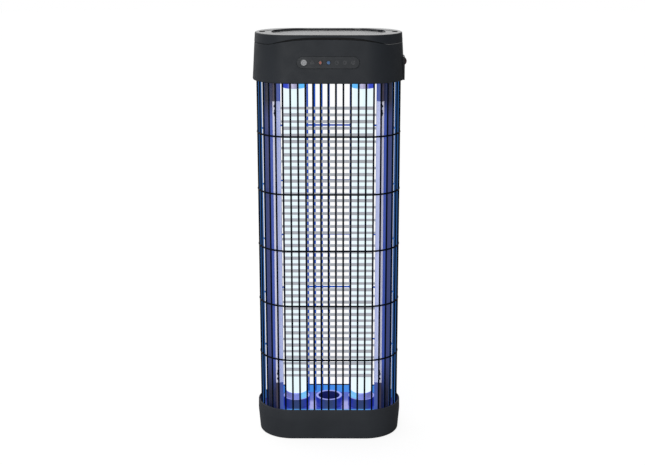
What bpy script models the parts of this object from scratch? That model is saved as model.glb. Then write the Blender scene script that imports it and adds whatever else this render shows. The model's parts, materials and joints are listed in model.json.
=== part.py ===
"""Electric bug zapper with two upright tube lamps, a comb grid and a wire guard.

Metres, +Z up. The origin is the centre of the underside of the base, the front is -Y and
the side with the mains switch is +X. The plan of every shell is a stadium: two half
circles joined by straights.
"""

import math

import bmesh
import bpy
from mathutils import Matrix, Vector

MM = 0.001
GAP = 0.3 * MM

# Plan outline, shared by every stadium-shaped piece.
HALF_STRAIGHT = 43.0 * MM
ARC_STEPS = 14
STRAIGHT_STEPS = 8

# Base tub.
BASE_R_BOTTOM = 40.6 * MM
BASE_R_WIDE = 42.8 * MM
BASE_WIDE_Z = 26.0 * MM
BASE_R_TOP = 42.6 * MM
BASE_H = 37.6 * MM
BASE_EDGE = 1.6 * MM
FLOOR_T = 3.0 * MM
SHELL_WALL = 2.5 * MM

# Socket plate inside the base, with its three collars.
PLATE_Z = 26.0 * MM
PLATE_T = 2.0 * MM
PLATE_R = 39.6 * MM
COLLAR_R = 16.0 * MM
COLLAR_BORE_R = 13.8 * MM
DROP_HOLE_R = 12.8 * MM
COLLAR_TOP = 40.3 * MM

# Wire guard.
CAGE_R = 38.3 * MM
WIRE = 2.0 * MM
HOOP_PROUD = 0.6 * MM
CAGE_Z = (30.0 * MM, 430.0 * MM)
HOOP_Z = [z * MM for z in (99.4, 166.1, 232.8, 299.5, 366.2)]
WIRE_COUNT = 48

# Head shell, its arched seam and the top cover.
HEAD_Z = 426.5 * MM
HEAD_TOP = 480.0 * MM
HEAD_R_BOTTOM = 43.45 * MM
HEAD_R_TOP = 40.3 * MM
HEAD_EDGE = 1.2 * MM
SEAM_Z = 467.5 * MM
SEAM_RISE = 7.8 * MM
SEAM_HALF = 72.0 * MM
SEAM_GAP = 0.6 * MM
RECESS_HALF = 28.0 * MM
RECESS_R = 36.5 * MM
RECESS_Z = 478.2 * MM
CEILING_Z = 474.6 * MM
LIP_DROP = 2.4 * MM

# Upper plate, the chassis inside the head.
UPPER_Z = 431.0 * MM
UPPER_T = 2.5 * MM
UPPER_R = 40.2 * MM

# Lamps: a glass tube, a metal cap with two pins at each end, and their holders.
LAMP_X = 39.4 * MM
LAMP_R = 13.0 * MM
LAMP_WALL = 0.9 * MM
LAMP_Z = (33.0 * MM, 430.0 * MM)
CAP_H = 13.4 * MM
PIN_R = 1.2 * MM
PIN_PITCH_R = 6.35 * MM
PIN_L = 6.5 * MM
GROOVE_R = (4.4 * MM, 8.3 * MM)
HOLDER_R = 13.4 * MM
HOLDER_BOTTOM_Z = (3.3 * MM, 32.4 * MM)
HOLDER_TOP_Z = (430.6 * MM, 446.0 * MM)

# Side columns with their tie rods and lamp cables.
COLUMN_X = (56.0 * MM, 74.9 * MM)
COLUMN_HALF_Y = 14.0 * MM
COLUMN_WALL = 1.5 * MM
COLUMN_Z = (28.4 * MM, 430.6 * MM)
ROD_X = 64.0 * MM
ROD_R = 1.5 * MM
ROD_HOLE_R = 1.9 * MM
ROD_HEAD_R = 3.4 * MM
ROD_HEAD_H = 2.4 * MM
POST_R = 5.5 * MM
CABLE_Y = 8.0 * MM
CABLE_R = 1.6 * MM

# High-voltage grid: two combs whose teeth take turns, and the boards that carry them.
GRID_Y = -22.0 * MM
GRID_COUNT = 43
GRID_Z = (73.9 * MM, 396.3 * MM)
GRID_TOOTH = 3.8 * MM
BUS_X = (58.6 * MM, 60.6 * MM)
TOOTH_END_X = 51.0 * MM
BOARD_X = (54.4 * MM, 62.8 * MM)
BOARD_Y = (-27.5 * MM, -16.0 * MM)
BOARD_WALL = 1.5 * MM
BOARD_Z = (67.0 * MM, 404.6 * MM)
BOARD_SCREW_X = 59.9 * MM
BOARD_SCREW_R = 1.3 * MM
BOARD_SCREW_Z = (72.0 * MM, 399.3 * MM)
BOARD_WINDOW_X = 60.3 * MM
BOARD_WINDOW_R = 1.6 * MM
SLOT_Z = (79.4 * MM, 391.8 * MM)
SLOT_HALF = (0.9 * MM, 3.5 * MM)
KEYHOLE_Z = (78.0 * MM, 391.2 * MM)
BRACKET_Z = ((28.4 * MM, 66.6 * MM), (405.0 * MM, 430.6 * MM))

# Front panel.
PANEL_Z = 450.0 * MM
PANEL_HALF_H = 6.6 * MM
PANEL_HALF_W = 34.7 * MM
PANEL_PROUD = 0.2 * MM
PANEL_DEPTH = 3.0 * MM
ICON_PITCH = 9.07 * MM
BUTTON_X = -26.8 * MM
BUTTON_R = 3.5 * MM
LENS_R = 2.4 * MM

# Side switch plate.
SIDE_X = (83.0 * MM, 86.3 * MM)
SIDE_HALF_Y = 10.0 * MM
SIDE_Z = (426.5 * MM, 452.6 * MM)
ROCKER_PIVOT = (84.6 * MM, 447.0 * MM)
ROCKER_HALF_H = 3.7 * MM
ROCKER_HALF_Y = 4.6 * MM
ROCKER_TILT = math.radians(7.0)

# Carry handle.
HANDLE_R = 1.4 * MM
HANDLE_X = 75.0 * MM
HANDLE_Z = 477.8 * MM
HANDLE_KNEE = (74.2 * MM, 5.0 * MM)
HANDLE_ARC_X = 28.0 * MM
HANDLE_ARC_R = 34.2 * MM
HANDLE_TIP_X = 80.3 * MM
POCKET_R = 3.5 * MM
POCKET_Z = 475.8 * MM

# Collection drawer.
DRAWER_HALF_X = 22.0 * MM
DRAWER_FACE_HALF_X = 23.6 * MM
DRAWER_Z = (3.3 * MM, 24.5 * MM)
DRAWER_FRONT_Y = -30.0 * MM
DRAWER_WALL = 1.5 * MM
DRAWER_FACE_T = 4.0 * MM


# ---------------------------------------------------------------- materials

def material(name, colour, roughness, metallic=0.0):
    """A Principled material with one colour."""
    mat = bpy.data.materials.new(name)
    mat.use_nodes = True
    shader = mat.node_tree.nodes["Principled BSDF"]
    shader.inputs["Base Color"].default_value = (*colour, 1.0)
    shader.inputs["Roughness"].default_value = roughness
    shader.inputs["Metallic"].default_value = metallic
    return mat


def make_materials():
    """All finishes of the zapper, by name."""
    return {
        "housing": material("housing", (0.035, 0.042, 0.047), 0.5),
        "guard": material("guard", (0.010, 0.012, 0.018), 0.4),
        "column": material("column", (0.05, 0.05, 0.06), 0.5),
        "chassis": material("chassis", (0.10, 0.11, 0.14), 0.5),
        "grid_metal": material("grid_metal", (0.42, 0.43, 0.45), 0.35, 1.0),
        "board": material("board", (0.72, 0.71, 0.75), 0.55),
        "steel": material("steel", (0.55, 0.56, 0.58), 0.3, 1.0),
        "lamp_glass": material("lamp_glass", (0.85, 0.93, 1.0), 0.2),
        "lamp_metal": material("lamp_metal", (0.75, 0.76, 0.78), 0.3, 1.0),
        "holder": material("holder", (0.80, 0.80, 0.78), 0.5),
        "panel": material("panel", (0.020, 0.022, 0.025), 0.2),
        "silver": material("silver", (0.62, 0.63, 0.65), 0.3, 0.8),
        "red_lens": material("red_lens", (0.60, 0.06, 0.04), 0.25),
        "blue_lens": material("blue_lens", (0.03, 0.20, 0.65), 0.25),
        "circuit": material("circuit", (0.04, 0.20, 0.08), 0.5),
        "potting": material("potting", (0.015, 0.015, 0.017), 0.6),
        "copper": material("copper", (0.55, 0.26, 0.12), 0.4, 1.0),
        "rubber": material("rubber", (0.02, 0.02, 0.02), 0.9),
        "cable": material("cable", (0.30, 0.30, 0.32), 0.6),
        "switch": material("switch", (0.28, 0.04, 0.06), 0.3),
        "tray": material("tray", (0.045, 0.050, 0.056), 0.5),
    }


# ---------------------------------------------------------------- mesh helpers

def finish(name, bm, mat):
    """Turns a bmesh into a named object with its faces pointing out."""
    bmesh.ops.recalc_face_normals(bm, faces=bm.faces)
    mesh = bpy.data.meshes.new(name)
    bm.to_mesh(mesh)
    bm.free()
    mesh.shade_smooth()
    mesh.set_sharp_from_angle(angle=math.radians(35.0))
    obj = bpy.data.objects.new(name, mesh)
    bpy.context.scene.collection.objects.link(obj)
    if mat:
        mesh.materials.append(mat)
    return obj


def add_rings(bm, rings, closed=False):
    """Skins rings of equal length; the ends get a cap each unless the skin is closed."""
    loops = [[bm.verts.new(point) for point in ring] for ring in rings]
    count = len(loops[0])
    pairs = list(zip(loops, loops[1:]))
    if closed:
        pairs.append((loops[-1], loops[0]))
    for low, high in pairs:
        for i in range(count):
            j = (i + 1) % count
            bm.faces.new((low[i], low[j], high[j], high[i]))
    if not closed:
        bm.faces.new(loops[0])
        bm.faces.new(loops[-1])


def loft(name, rings, mat, closed=False):
    """An object skinned over rings of points."""
    bm = bmesh.new()
    add_rings(bm, rings, closed)
    return finish(name, bm, mat)


def circle(radius, z, steps, centre=(0.0, 0.0)):
    """A horizontal ring of points."""
    ring = []
    for i in range(steps):
        angle = math.tau * (i + 0.5) / steps
        x = centre[0] + radius * math.cos(angle)
        y = centre[1] + radius * math.sin(angle)
        ring.append(Vector((x, y, z)))
    return ring


def add_turned(bm, profile, steps, matrix):
    """Adds a solid turned about +Z from (radius, z) pairs, then placed by the matrix."""
    rings = [circle(radius, z, steps) for radius, z in profile]
    add_rings(bm, [[matrix @ point for point in ring] for ring in rings])


def place(centre, axis="Z"):
    """A matrix that moves to a centre and turns +Z to point along X, Y or Z."""
    turn = {
        "X": Matrix.Rotation(math.pi / 2.0, 4, "Y"),
        "Y": Matrix.Rotation(-math.pi / 2.0, 4, "X"),
        "Z": Matrix.Identity(4),
    }[axis]
    return Matrix.Translation(centre) @ turn


def turned(name, profile, mat, centre=(0.0, 0.0, 0.0), axis="Z", steps=20):
    """A turned object whose origin is the given centre."""
    bm = bmesh.new()
    add_turned(bm, profile, steps, place((0.0, 0.0, 0.0), axis))
    obj = finish(name, bm, mat)
    obj.location = centre
    return obj


def turned_ring(name, profile, mat, centre=(0.0, 0.0, 0.0), steps=20):
    """A turned object with a hole: the profile is a closed loop of (radius, z) pairs."""
    obj = loft(name, [circle(radius, z, steps) for radius, z in profile], mat, closed=True)
    obj.location = centre
    return obj


def rod_profile(radius, low, high):
    """The profile of a plain cylinder."""
    return [(radius, low), (radius, high)]


def add_box(bm, low, high):
    """Adds a box between two corners."""
    rings = []
    for z in (low[2], high[2]):
        corners = ((low[0], low[1]), (high[0], low[1]), (high[0], high[1]), (low[0], high[1]))
        rings.append([Vector((x, y, z)) for x, y in corners])
    add_rings(bm, rings)


def box(name, low, high, mat):
    """A box object between two corners."""
    bm = bmesh.new()
    add_box(bm, low, high)
    return finish(name, bm, mat)


def extruded(name, outline, axis, low, high, mat):
    """A flat outline of (a, b) pairs pushed along an axis: Y takes (x, z), Z takes (x, y)."""
    rings = []
    for level in (low, high):
        if axis == "Y":
            rings.append([Vector((a, level, b)) for a, b in outline])
        else:
            rings.append([Vector((a, b, level)) for a, b in outline])
    return loft(name, rings, mat)


def combine(obj, cutter, operation):
    """Applies a cutter to an object with a live Boolean and hides the cutter."""
    cutter.hide_render = True
    cutter.display_type = "WIRE"
    modifier = obj.modifiers.new(cutter.name, "BOOLEAN")
    modifier.operation = operation
    modifier.solver = "EXACT"
    modifier.object = cutter
    return obj


def cylinders_cutter(name, specs, steps=20):
    """One cutter made of separate cylinders: (centre, axis, radius, low, high) each."""
    bm = bmesh.new()
    for centre, axis, radius, low, high in specs:
        add_turned(bm, rod_profile(radius, low, high), steps, place(centre, axis))
    return finish(name, bm, None)


def boxes_cutter(name, corners):
    """One cutter made of separate boxes."""
    bm = bmesh.new()
    for low, high in corners:
        add_box(bm, low, high)
    return finish(name, bm, None)


# ---------------------------------------------------------------- shared shapes

def stadium(half, radius, z):
    """A horizontal stadium ring that starts at the front left and runs to the right."""
    ring = []
    for i in range(STRAIGHT_STEPS):
        ring.append(Vector((-half + 2.0 * half * i / STRAIGHT_STEPS, -radius, z)))
    for i in range(ARC_STEPS):
        angle = -math.pi / 2.0 + math.pi * i / ARC_STEPS
        ring.append(Vector((half + radius * math.cos(angle), radius * math.sin(angle), z)))
    back = [Vector((-p.x, -p.y, z)) for p in ring]
    return ring + back


def head_radius(z):
    """Outer plan radius of the head at a height."""
    share = (z - HEAD_Z) / (HEAD_TOP - HEAD_Z)
    return HEAD_R_BOTTOM + (HEAD_R_TOP - HEAD_R_BOTTOM) * share


def base_radius(z):
    """Outer plan radius of the base at a height."""
    if z < BASE_WIDE_Z:
        return BASE_R_BOTTOM + (BASE_R_WIDE - BASE_R_BOTTOM) * z / BASE_WIDE_Z
    share = (z - BASE_WIDE_Z) / (BASE_H - BASE_WIDE_Z)
    return BASE_R_WIDE + (BASE_R_TOP - BASE_R_WIDE) * share


def seam_lift(point):
    """Share of the full arch, from 0 at the sides and back to 1 at the front centre."""
    if point.y > 0.0 or abs(point.x) > SEAM_HALF:
        return 0.0
    return 1.0 - (abs(point.x) / SEAM_HALF) ** 3


def seam_ring(radius, offset):
    """A stadium ring that follows the arched seam, raised by the offset."""
    ring = stadium(HALF_STRAIGHT, radius, 0.0)
    for point in ring:
        point.z = SEAM_Z + SEAM_RISE * seam_lift(point) + offset
    return ring


def sides():
    """The left and right side with their signs."""
    return (("left", -1.0), ("right", 1.0))


# ---------------------------------------------------------------- base

def make_base(mats):
    """Open tub with tie-rod posts, drawer rails, foot pockets and a drawer doorway."""
    inner_low = base_radius(FLOOR_T) - SHELL_WALL
    inner_high = BASE_R_TOP - SHELL_WALL
    rings = [
        stadium(HALF_STRAIGHT, BASE_R_BOTTOM - BASE_EDGE, 0.0),
        stadium(HALF_STRAIGHT, base_radius(BASE_EDGE), BASE_EDGE),
        stadium(HALF_STRAIGHT, BASE_R_WIDE, BASE_WIDE_Z),
        stadium(HALF_STRAIGHT, BASE_R_TOP, BASE_H),
        stadium(HALF_STRAIGHT, inner_high, BASE_H),
        stadium(HALF_STRAIGHT, BASE_R_WIDE - SHELL_WALL, BASE_WIDE_Z),
        stadium(HALF_STRAIGHT, inner_low, FLOOR_T),
    ]
    base = loft("base_housing", rings, mats["housing"])
    overlap = 1.0 * MM
    posts = []
    for _, side in sides():
        posts.append(((side * ROD_X, 0.0, 0.0), "Z", POST_R, overlap, PLATE_Z - GAP))
    combine(base, cylinders_cutter("base_posts", posts, 16), "UNION")
    rail_t = 1.6 * MM
    rail_x = DRAWER_HALF_X + 0.4 * MM
    rails = []
    for _, side in sides():
        near, far = sorted((side * rail_x, side * (rail_x + rail_t)))
        rails.append(((near, DRAWER_FRONT_Y, overlap), (far, 34.0 * MM, 8.0 * MM)))
    combine(base, boxes_cutter("base_rails", rails), "UNION")
    doorway_x = DRAWER_FACE_HALF_X + GAP
    doorway_low = (-doorway_x, 35.0 * MM, FLOOR_T)
    doorway_high = (doorway_x, 50.0 * MM, DRAWER_Z[1] + 1.3 * MM)
    combine(base, boxes_cutter("base_doorway", [(doorway_low, doorway_high)]), "DIFFERENCE")
    bm = bmesh.new()
    head_r = ROD_HEAD_R + 0.4 * MM
    seat_z = ROD_HEAD_H + 2.0 * GAP
    stepped = [(head_r, -overlap), (head_r, seat_z), (ROD_HOLE_R, seat_z), (ROD_HOLE_R, 30.0 * MM)]
    for _, side in sides():
        add_turned(bm, stepped, 16, place((side * ROD_X, 0.0, 0.0)))
    combine(base, finish("base_rod_holes", bm, None), "DIFFERENCE")
    pockets = []
    for x, y in foot_places():
        pockets.append(((x, y, 0.0), "Z", FOOT_R + GAP, -overlap, FOOT_T + GAP))
    combine(base, cylinders_cutter("base_foot_pockets", pockets, 14), "DIFFERENCE")
    return base


FOOT_R = 5.0 * MM
FOOT_T = 1.5 * MM


def foot_places():
    """Centres of the four rubber pads."""
    return [(sx * 50.0 * MM, sy * 26.0 * MM) for sy in (-1.0, 1.0) for sx in (-1.0, 1.0)]


def make_feet(mats):
    """Rubber pads set into the underside of the base."""
    names = ("foot_front_left", "foot_front_right", "foot_rear_left", "foot_rear_right")
    for name, (x, y) in zip(names, foot_places()):
        turned(name, rod_profile(FOOT_R, 0.0, FOOT_T), mats["rubber"], (x, y, 0.0), steps=14)


def make_socket_plate(mats):
    """Plate over the base with a collar round each lamp and an open collar between them."""
    top = PLATE_Z + PLATE_T
    rings = [stadium(HALF_STRAIGHT, PLATE_R, z) for z in (PLATE_Z, top)]
    plate = loft("socket_plate", rings, mats["chassis"])
    collars = []
    bores = []
    for x, bore in ((-LAMP_X, COLLAR_BORE_R), (0.0, DROP_HOLE_R), (LAMP_X, COLLAR_BORE_R)):
        collars.append(((x, 0.0, 0.0), "Z", COLLAR_R, PLATE_Z + 0.5 * MM, COLLAR_TOP))
        bores.append(((x, 0.0, 0.0), "Z", bore, PLATE_Z - MM, COLLAR_TOP + MM))
    combine(plate, cylinders_cutter("socket_collars", collars, 24), "UNION")
    combine(plate, cylinders_cutter("socket_bores", bores, 24), "DIFFERENCE")
    combine(plate, cylinders_cutter("socket_small_holes", rod_and_cable_holes(top), 12), "DIFFERENCE")
    return plate


def rod_and_cable_holes(z):
    """Cutter places for the tie rods and lamp cables through a plate at a height."""
    reach = 5.0 * MM
    holes = []
    for _, side in sides():
        holes.append(((side * ROD_X, 0.0, z), "Z", ROD_HOLE_R, -reach, reach))
        holes.append(((side * ROD_X, CABLE_Y, z), "Z", CABLE_R + 0.4 * MM, -reach, reach))
    return holes


def make_drawer(mats):
    """Tray that slides out to the rear, with a face that fills the doorway."""
    low, high = DRAWER_Z
    face_y = base_radius(low) - DRAWER_FACE_T
    tray = box(
        "collection_drawer",
        (-DRAWER_HALF_X, DRAWER_FRONT_Y, low),
        (DRAWER_HALF_X, face_y + MM, high - 1.0 * MM),
        mats["tray"],
    )
    rings = []
    for z in (low, high + 0.7 * MM):
        corners = (
            (-DRAWER_FACE_HALF_X, face_y),
            (DRAWER_FACE_HALF_X, face_y),
            (DRAWER_FACE_HALF_X, base_radius(z) - 0.2 * MM),
            (-DRAWER_FACE_HALF_X, base_radius(z) - 0.2 * MM),
        )
        rings.append([Vector((x, y, z)) for x, y in corners])
    combine(tray, loft("drawer_face", rings, None), "UNION")
    inner = DRAWER_HALF_X - DRAWER_WALL
    cavity = (
        (-inner, DRAWER_FRONT_Y + DRAWER_WALL, low + DRAWER_WALL),
        (inner, face_y - 0.2 * MM, high + 5.0 * MM),
    )
    grip = ((-12.0 * MM, base_radius(low) - 2.2 * MM, 11.0 * MM), (12.0 * MM, 50.0 * MM, 19.0 * MM))
    combine(tray, boxes_cutter("drawer_hollows", [cavity, grip]), "DIFFERENCE")
    return tray


# ---------------------------------------------------------------- columns and rods

def make_columns(mats):
    """Hollow rectangular columns at both sides, drilled for the board screws."""
    near, far = COLUMN_X
    for label, side in sides():
        centre_x = side * (near + far) / 2.0
        rings = []
        for inset in (0.0, COLUMN_WALL):
            half_x = (far - near) / 2.0 - inset
            half_y = COLUMN_HALF_Y - inset
            for z in COLUMN_Z if inset == 0.0 else reversed(COLUMN_Z):
                rings.append(chamfered_rectangle(centre_x, half_x, half_y, 1.2 * MM, z))
        column = loft(f"column_{label}", rings, mats["column"], closed=True)
        holes = []
        for z in BOARD_SCREW_Z:
            hole_x = side * BOARD_SCREW_X
            holes.append(((hole_x, -COLUMN_HALF_Y, z), "Y", 1.5 * MM, -3.0 * MM, 4.0 * MM))
        cutter = cylinders_cutter(f"column_{label}_holes", holes, 12)
        combine(column, cutter, "DIFFERENCE")


def chamfered_rectangle(centre_x, half_x, half_y, chamfer, z):
    """A horizontal rectangle with cut corners."""
    ring = []
    for sx, sy in ((1, -1), (1, 1), (-1, 1), (-1, -1)):
        long_y = Vector((centre_x + sx * half_x, sy * (half_y - chamfer), z))
        long_x = Vector((centre_x + sx * (half_x - chamfer), sy * half_y, z))
        ring += [long_x, long_y] if sx * sy < 0 else [long_y, long_x]
    return ring


def make_tie_rods(mats):
    """Long bolts that clamp the base, the columns and the upper plate together."""
    top = UPPER_Z + UPPER_T
    for label, side in sides():
        centre = (side * ROD_X, 0.0, 0.0)
        head_z = GAP
        shank_z = head_z + ROD_HEAD_H
        profile = [(ROD_HEAD_R, head_z), (ROD_HEAD_R, shank_z), (ROD_R, shank_z), (ROD_R, top + 6.0 * MM)]
        turned(f"tie_rod_{label}", profile, mats["steel"], centre, steps=12)
        inner = ROD_R + GAP
        outer = 3.1 * MM
        low = top + GAP
        high = low + 2.4 * MM
        nut = [(inner, low), (outer, low), (outer, high), (inner, high)]
        turned_ring(f"tie_nut_{label}", nut, mats["steel"], centre, steps=6)


def make_lamp_cables(mats):
    """Cables inside the columns, from the lower lamp holders to the driver."""
    for label, side in sides():
        centre = (side * ROD_X, CABLE_Y, 0.0)
        profile = rod_profile(CABLE_R, 14.0 * MM, 444.0 * MM)
        turned(f"lamp_cable_{label}", profile, mats["cable"], centre, steps=8)


# ---------------------------------------------------------------- lamps

def holder_profile(low, high, open_end):
    """A cylinder with a ring groove for the lamp pins in its open end."""
    groove_low, groove_high = GROOVE_R
    depth = PIN_L + 1.2 * MM
    if open_end == high:
        floor = high - depth
        tail = [(groove_high, high), (groove_high, floor), (groove_low, floor), (groove_low, high)]
        return [(HOLDER_R, low), (HOLDER_R, high)] + tail
    floor = low + depth
    tail = [(groove_high, low), (groove_high, floor), (groove_low, floor), (groove_low, low)]
    return [(HOLDER_R, high), (HOLDER_R, low)] + tail


def make_lamp_holders(mats):
    """Lower holders stand on the floor of the base; upper ones hang in the upper plate."""
    for label, side in sides():
        centre = (side * LAMP_X, 0.0, 0.0)
        low, high = HOLDER_BOTTOM_Z
        profile = holder_profile(low, high, high)
        turned(f"lamp_holder_bottom_{label}", profile, mats["holder"], centre, steps=18)
        low, high = HOLDER_TOP_Z
        profile = holder_profile(low, high, low)
        turned(f"lamp_holder_top_{label}", profile, mats["holder"], centre, steps=18)


def make_lamp_cap(name, centre, low, high, pin_end, mats):
    """Metal end cap with its two pins."""
    chamfer = 0.8 * MM
    profile = [(LAMP_R - chamfer, low), (LAMP_R, low + chamfer), (LAMP_R, high - chamfer)]
    profile.append((LAMP_R - chamfer, high))
    cap = turned(name, profile, mats["lamp_metal"], centre, steps=20)
    pins = []
    for side in (-1.0, 1.0):
        pin_low, pin_high = sorted((pin_end, low + 2.0 * MM if pin_end < low else high - 2.0 * MM))
        pins.append(((centre[0], side * PIN_PITCH_R, 0.0), "Z", PIN_R, pin_low, pin_high))
    return combine(cap, cylinders_cutter(f"{name}_pins", pins, 8), "UNION")


def make_lamps(mats):
    """Two tube lamps that turn about their own axes in the holders."""
    low, high = LAMP_Z
    for label, side in sides():
        centre = (side * LAMP_X, 0.0, 0.0)
        glass_low = low + CAP_H + GAP
        glass_high = high - CAP_H - GAP
        bore = LAMP_R - LAMP_WALL
        outer = LAMP_R - 0.1 * MM
        profile = [(bore, glass_low), (outer, glass_low), (outer, glass_high), (bore, glass_high)]
        turned_ring(f"lamp_tube_{label}", profile, mats["lamp_glass"], centre, steps=24)
        make_lamp_cap(f"lamp_cap_bottom_{label}", centre, low, low + CAP_H, low - PIN_L, mats)
        make_lamp_cap(f"lamp_cap_top_{label}", centre, high - CAP_H, high, high + PIN_L, mats)


# ---------------------------------------------------------------- grid

def tooth_height(index):
    """Height of the centre of a grid tooth, counted from the bottom."""
    low, high = GRID_Z
    return low + (high - low) * index / (GRID_COUNT - 1)


def make_electrode(name, side, first, mats):
    """A comb: a hidden bus bar and every second tooth, from the given index."""
    near, far = BUS_X
    half = GRID_TOOTH / 2.0
    indices = range(first, GRID_COUNT, 2)
    outline = [
        (side * far, tooth_height(indices[-1]) + half),
        (side * far, tooth_height(indices[0]) - half),
    ]
    for index in indices:
        z = tooth_height(index)
        outline.append((-side * TOOTH_END_X, z - half))
        outline.append((-side * TOOTH_END_X, z + half))
        if index != indices[-1]:
            outline.append((side * near, z + half))
            outline.append((side * near, tooth_height(index + 2) - half))
    return extruded(name, outline, "Y", GRID_Y - half, GRID_Y + half, mats["grid_metal"])


def make_grid_boards(mats):
    """White channels, open towards the grid, that hide the bus bars."""
    near, far = BOARD_X
    front, back = BOARD_Y
    wall = BOARD_WALL
    slope = 1.8 * MM
    low, high = BOARD_Z
    for label, side in sides():
        outline = [
            (side * far, front),
            (side * far, back),
            (side * near, back),
            (side * near, back - wall),
            (side * (far - wall), back - wall),
            (side * (far - wall), front + wall),
            (side * (near + 4.6 * MM), front + wall),
            (side * near, front + slope + wall),
            (side * near, front + slope),
            (side * (near + 4.6 * MM), front),
        ]
        board = extruded(f"grid_board_{label}", outline, "Z", low, high, mats["board"])
        through = []
        for z in BOARD_SCREW_Z:
            place_at = (side * BOARD_SCREW_X, back, z)
            through.append((place_at, "Y", 1.5 * MM, -3.0 * MM, 2.0 * MM))
        combine(board, cylinders_cutter(f"board_{label}_holes", through, 12), "DIFFERENCE")
        windows = []
        for z in BOARD_SCREW_Z + KEYHOLE_Z:
            place_at = (side * BOARD_WINDOW_X, front, z)
            windows.append((place_at, "Y", BOARD_WINDOW_R, -MM, wall + MM))
        combine(board, cylinders_cutter(f"board_{label}_windows", windows, 16), "DIFFERENCE")
        slots = []
        half_x, half_z = SLOT_HALF
        for z in SLOT_Z:
            x = side * BOARD_WINDOW_X
            slot_low = (x - half_x, front - MM, z - half_z)
            slots.append((slot_low, (x + half_x, front + wall + MM, z + half_z)))
        combine(board, boxes_cutter(f"board_{label}_slots", slots), "DIFFERENCE")


def make_grid_brackets(mats):
    """Plastic blocks between the boards and the two plates."""
    near, far = BOARD_X
    front, back = BOARD_Y
    chamfer = 1.2 * MM
    for label, side in sides():
        for level, (low, high) in zip(("bottom", "top"), BRACKET_Z):
            outline = [
                (side * far, front + chamfer),
                (side * far, back),
                (side * near, back),
                (side * near, front + chamfer),
                (side * (near + chamfer), front),
                (side * (far - chamfer), front),
            ]
            extruded(f"grid_bracket_{level}_{label}", outline, "Z", low, high, mats["column"])


def make_board_screws(mats):
    """Screws through the boards into the columns."""
    back = BOARD_Y[1]
    seat = back - BOARD_WALL - GAP
    head_h = 1.4 * MM
    shank_end = -COLUMN_HALF_Y + 4.0 * MM
    for label, side in sides():
        for level, z in zip(("bottom", "top"), BOARD_SCREW_Z):
            profile = [
                (BOARD_SCREW_R, seat - head_h),
                (BOARD_SCREW_R, seat),
                (1.1 * MM, seat),
                (1.1 * MM, shank_end),
            ]
            name = f"board_screw_{level}_{label}"
            turned(name, profile, mats["potting"], (side * BOARD_SCREW_X, 0.0, z), "Y", 12)


# ---------------------------------------------------------------- guard

def guard_places():
    """Points and directions of the upright wires, evenly spaced along the outline."""
    straight = 2.0 * HALF_STRAIGHT
    bend = math.pi * CAGE_R
    total = 2.0 * (straight + bend)
    places = []
    for i in range(WIRE_COUNT):
        run = (i * total / WIRE_COUNT + straight / 2.0) % total
        flip = 1.0
        if run >= straight + bend:
            run -= straight + bend
            flip = -1.0
        if run < straight:
            point = Vector((run - HALF_STRAIGHT, -CAGE_R, 0.0))
            normal = Vector((0.0, -1.0, 0.0))
        else:
            angle = -math.pi / 2.0 + (run - straight) / CAGE_R
            normal = Vector((math.cos(angle), math.sin(angle), 0.0))
            point = Vector((HALF_STRAIGHT, 0.0, 0.0)) + normal * CAGE_R
        places.append((point * flip, normal * flip))
    return places


def make_guard(mats):
    """Welded guard: upright wires joined by five hoops, as one lattice."""
    half = WIRE / 2.0
    levels = [CAGE_Z[0]]
    for z in HOOP_Z:
        levels += [z - half, z + half]
    levels.append(CAGE_Z[1])
    bm = bmesh.new()
    posts = []
    bands = []
    for point, normal in guard_places():
        along = Vector((-normal.y, normal.x, 0.0))
        corners = [
            point + normal * half - along * half,
            point + normal * half + along * half,
            point - normal * half + along * half,
            point - normal * half - along * half,
        ]
        posts.append([[bm.verts.new((c.x, c.y, z)) for c in corners] for z in levels])
        proud = [c + normal * HOOP_PROUD for c in corners[:2]]
        bands.append([[bm.verts.new((c.x, c.y, z)) for c in proud] for z in levels])
    for i, post in enumerate(posts):
        following = posts[(i + 1) % WIRE_COUNT]
        band = bands[i]
        next_band = bands[(i + 1) % WIRE_COUNT]
        bm.faces.new(post[0])
        bm.faces.new(post[-1])
        for k in range(len(levels) - 1):
            low, high = post[k], post[k + 1]
            next_low, next_high = following[k], following[k + 1]
            bm.faces.new((low[2], low[3], high[3], high[2]))
            if k % 2 == 0:
                bm.faces.new((low[0], low[1], high[1], high[0]))
                bm.faces.new((low[1], low[2], high[2], high[1]))
                bm.faces.new((low[3], low[0], high[0], high[3]))
                continue
            out_low, out_high = band[k], band[k + 1]
            next_out_low, next_out_high = next_band[k], next_band[k + 1]
            bm.faces.new((out_low[0], out_low[1], out_high[1], out_high[0]))
            bm.faces.new((out_low[1], next_out_low[0], next_out_high[0], out_high[1]))
            bm.faces.new((next_low[3], low[2], high[2], next_high[3]))
            for inner, outer, far, far_outer in (
                (low, out_low, next_low, next_out_low),
                (high, out_high, next_high, next_out_high),
            ):
                bm.faces.new((inner[0], inner[1], outer[1], outer[0]))
                bm.faces.new((inner[1], far[0], far_outer[0], outer[1]))
                bm.faces.new((inner[2], far[3], far[0], inner[1]))
    loose = [vert for vert in bm.verts if not vert.link_faces]
    bmesh.ops.delete(bm, geom=loose, context="VERTS")
    return finish("outer_cage", bm, mats["guard"])


# ---------------------------------------------------------------- head

HEAD_BOSS = (22.0 * MM, 36.0 * MM)
HEAD_BOSS_R = 3.4 * MM
HEAD_BOSS_REACH = 41.0 * MM


def head_boss_places():
    """Centres of the four screw bosses inside the head."""
    x, y = HEAD_BOSS
    return [(sx * x, sy * y) for sy in (-1.0, 1.0) for sx in (-1.0, 1.0)]


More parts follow.
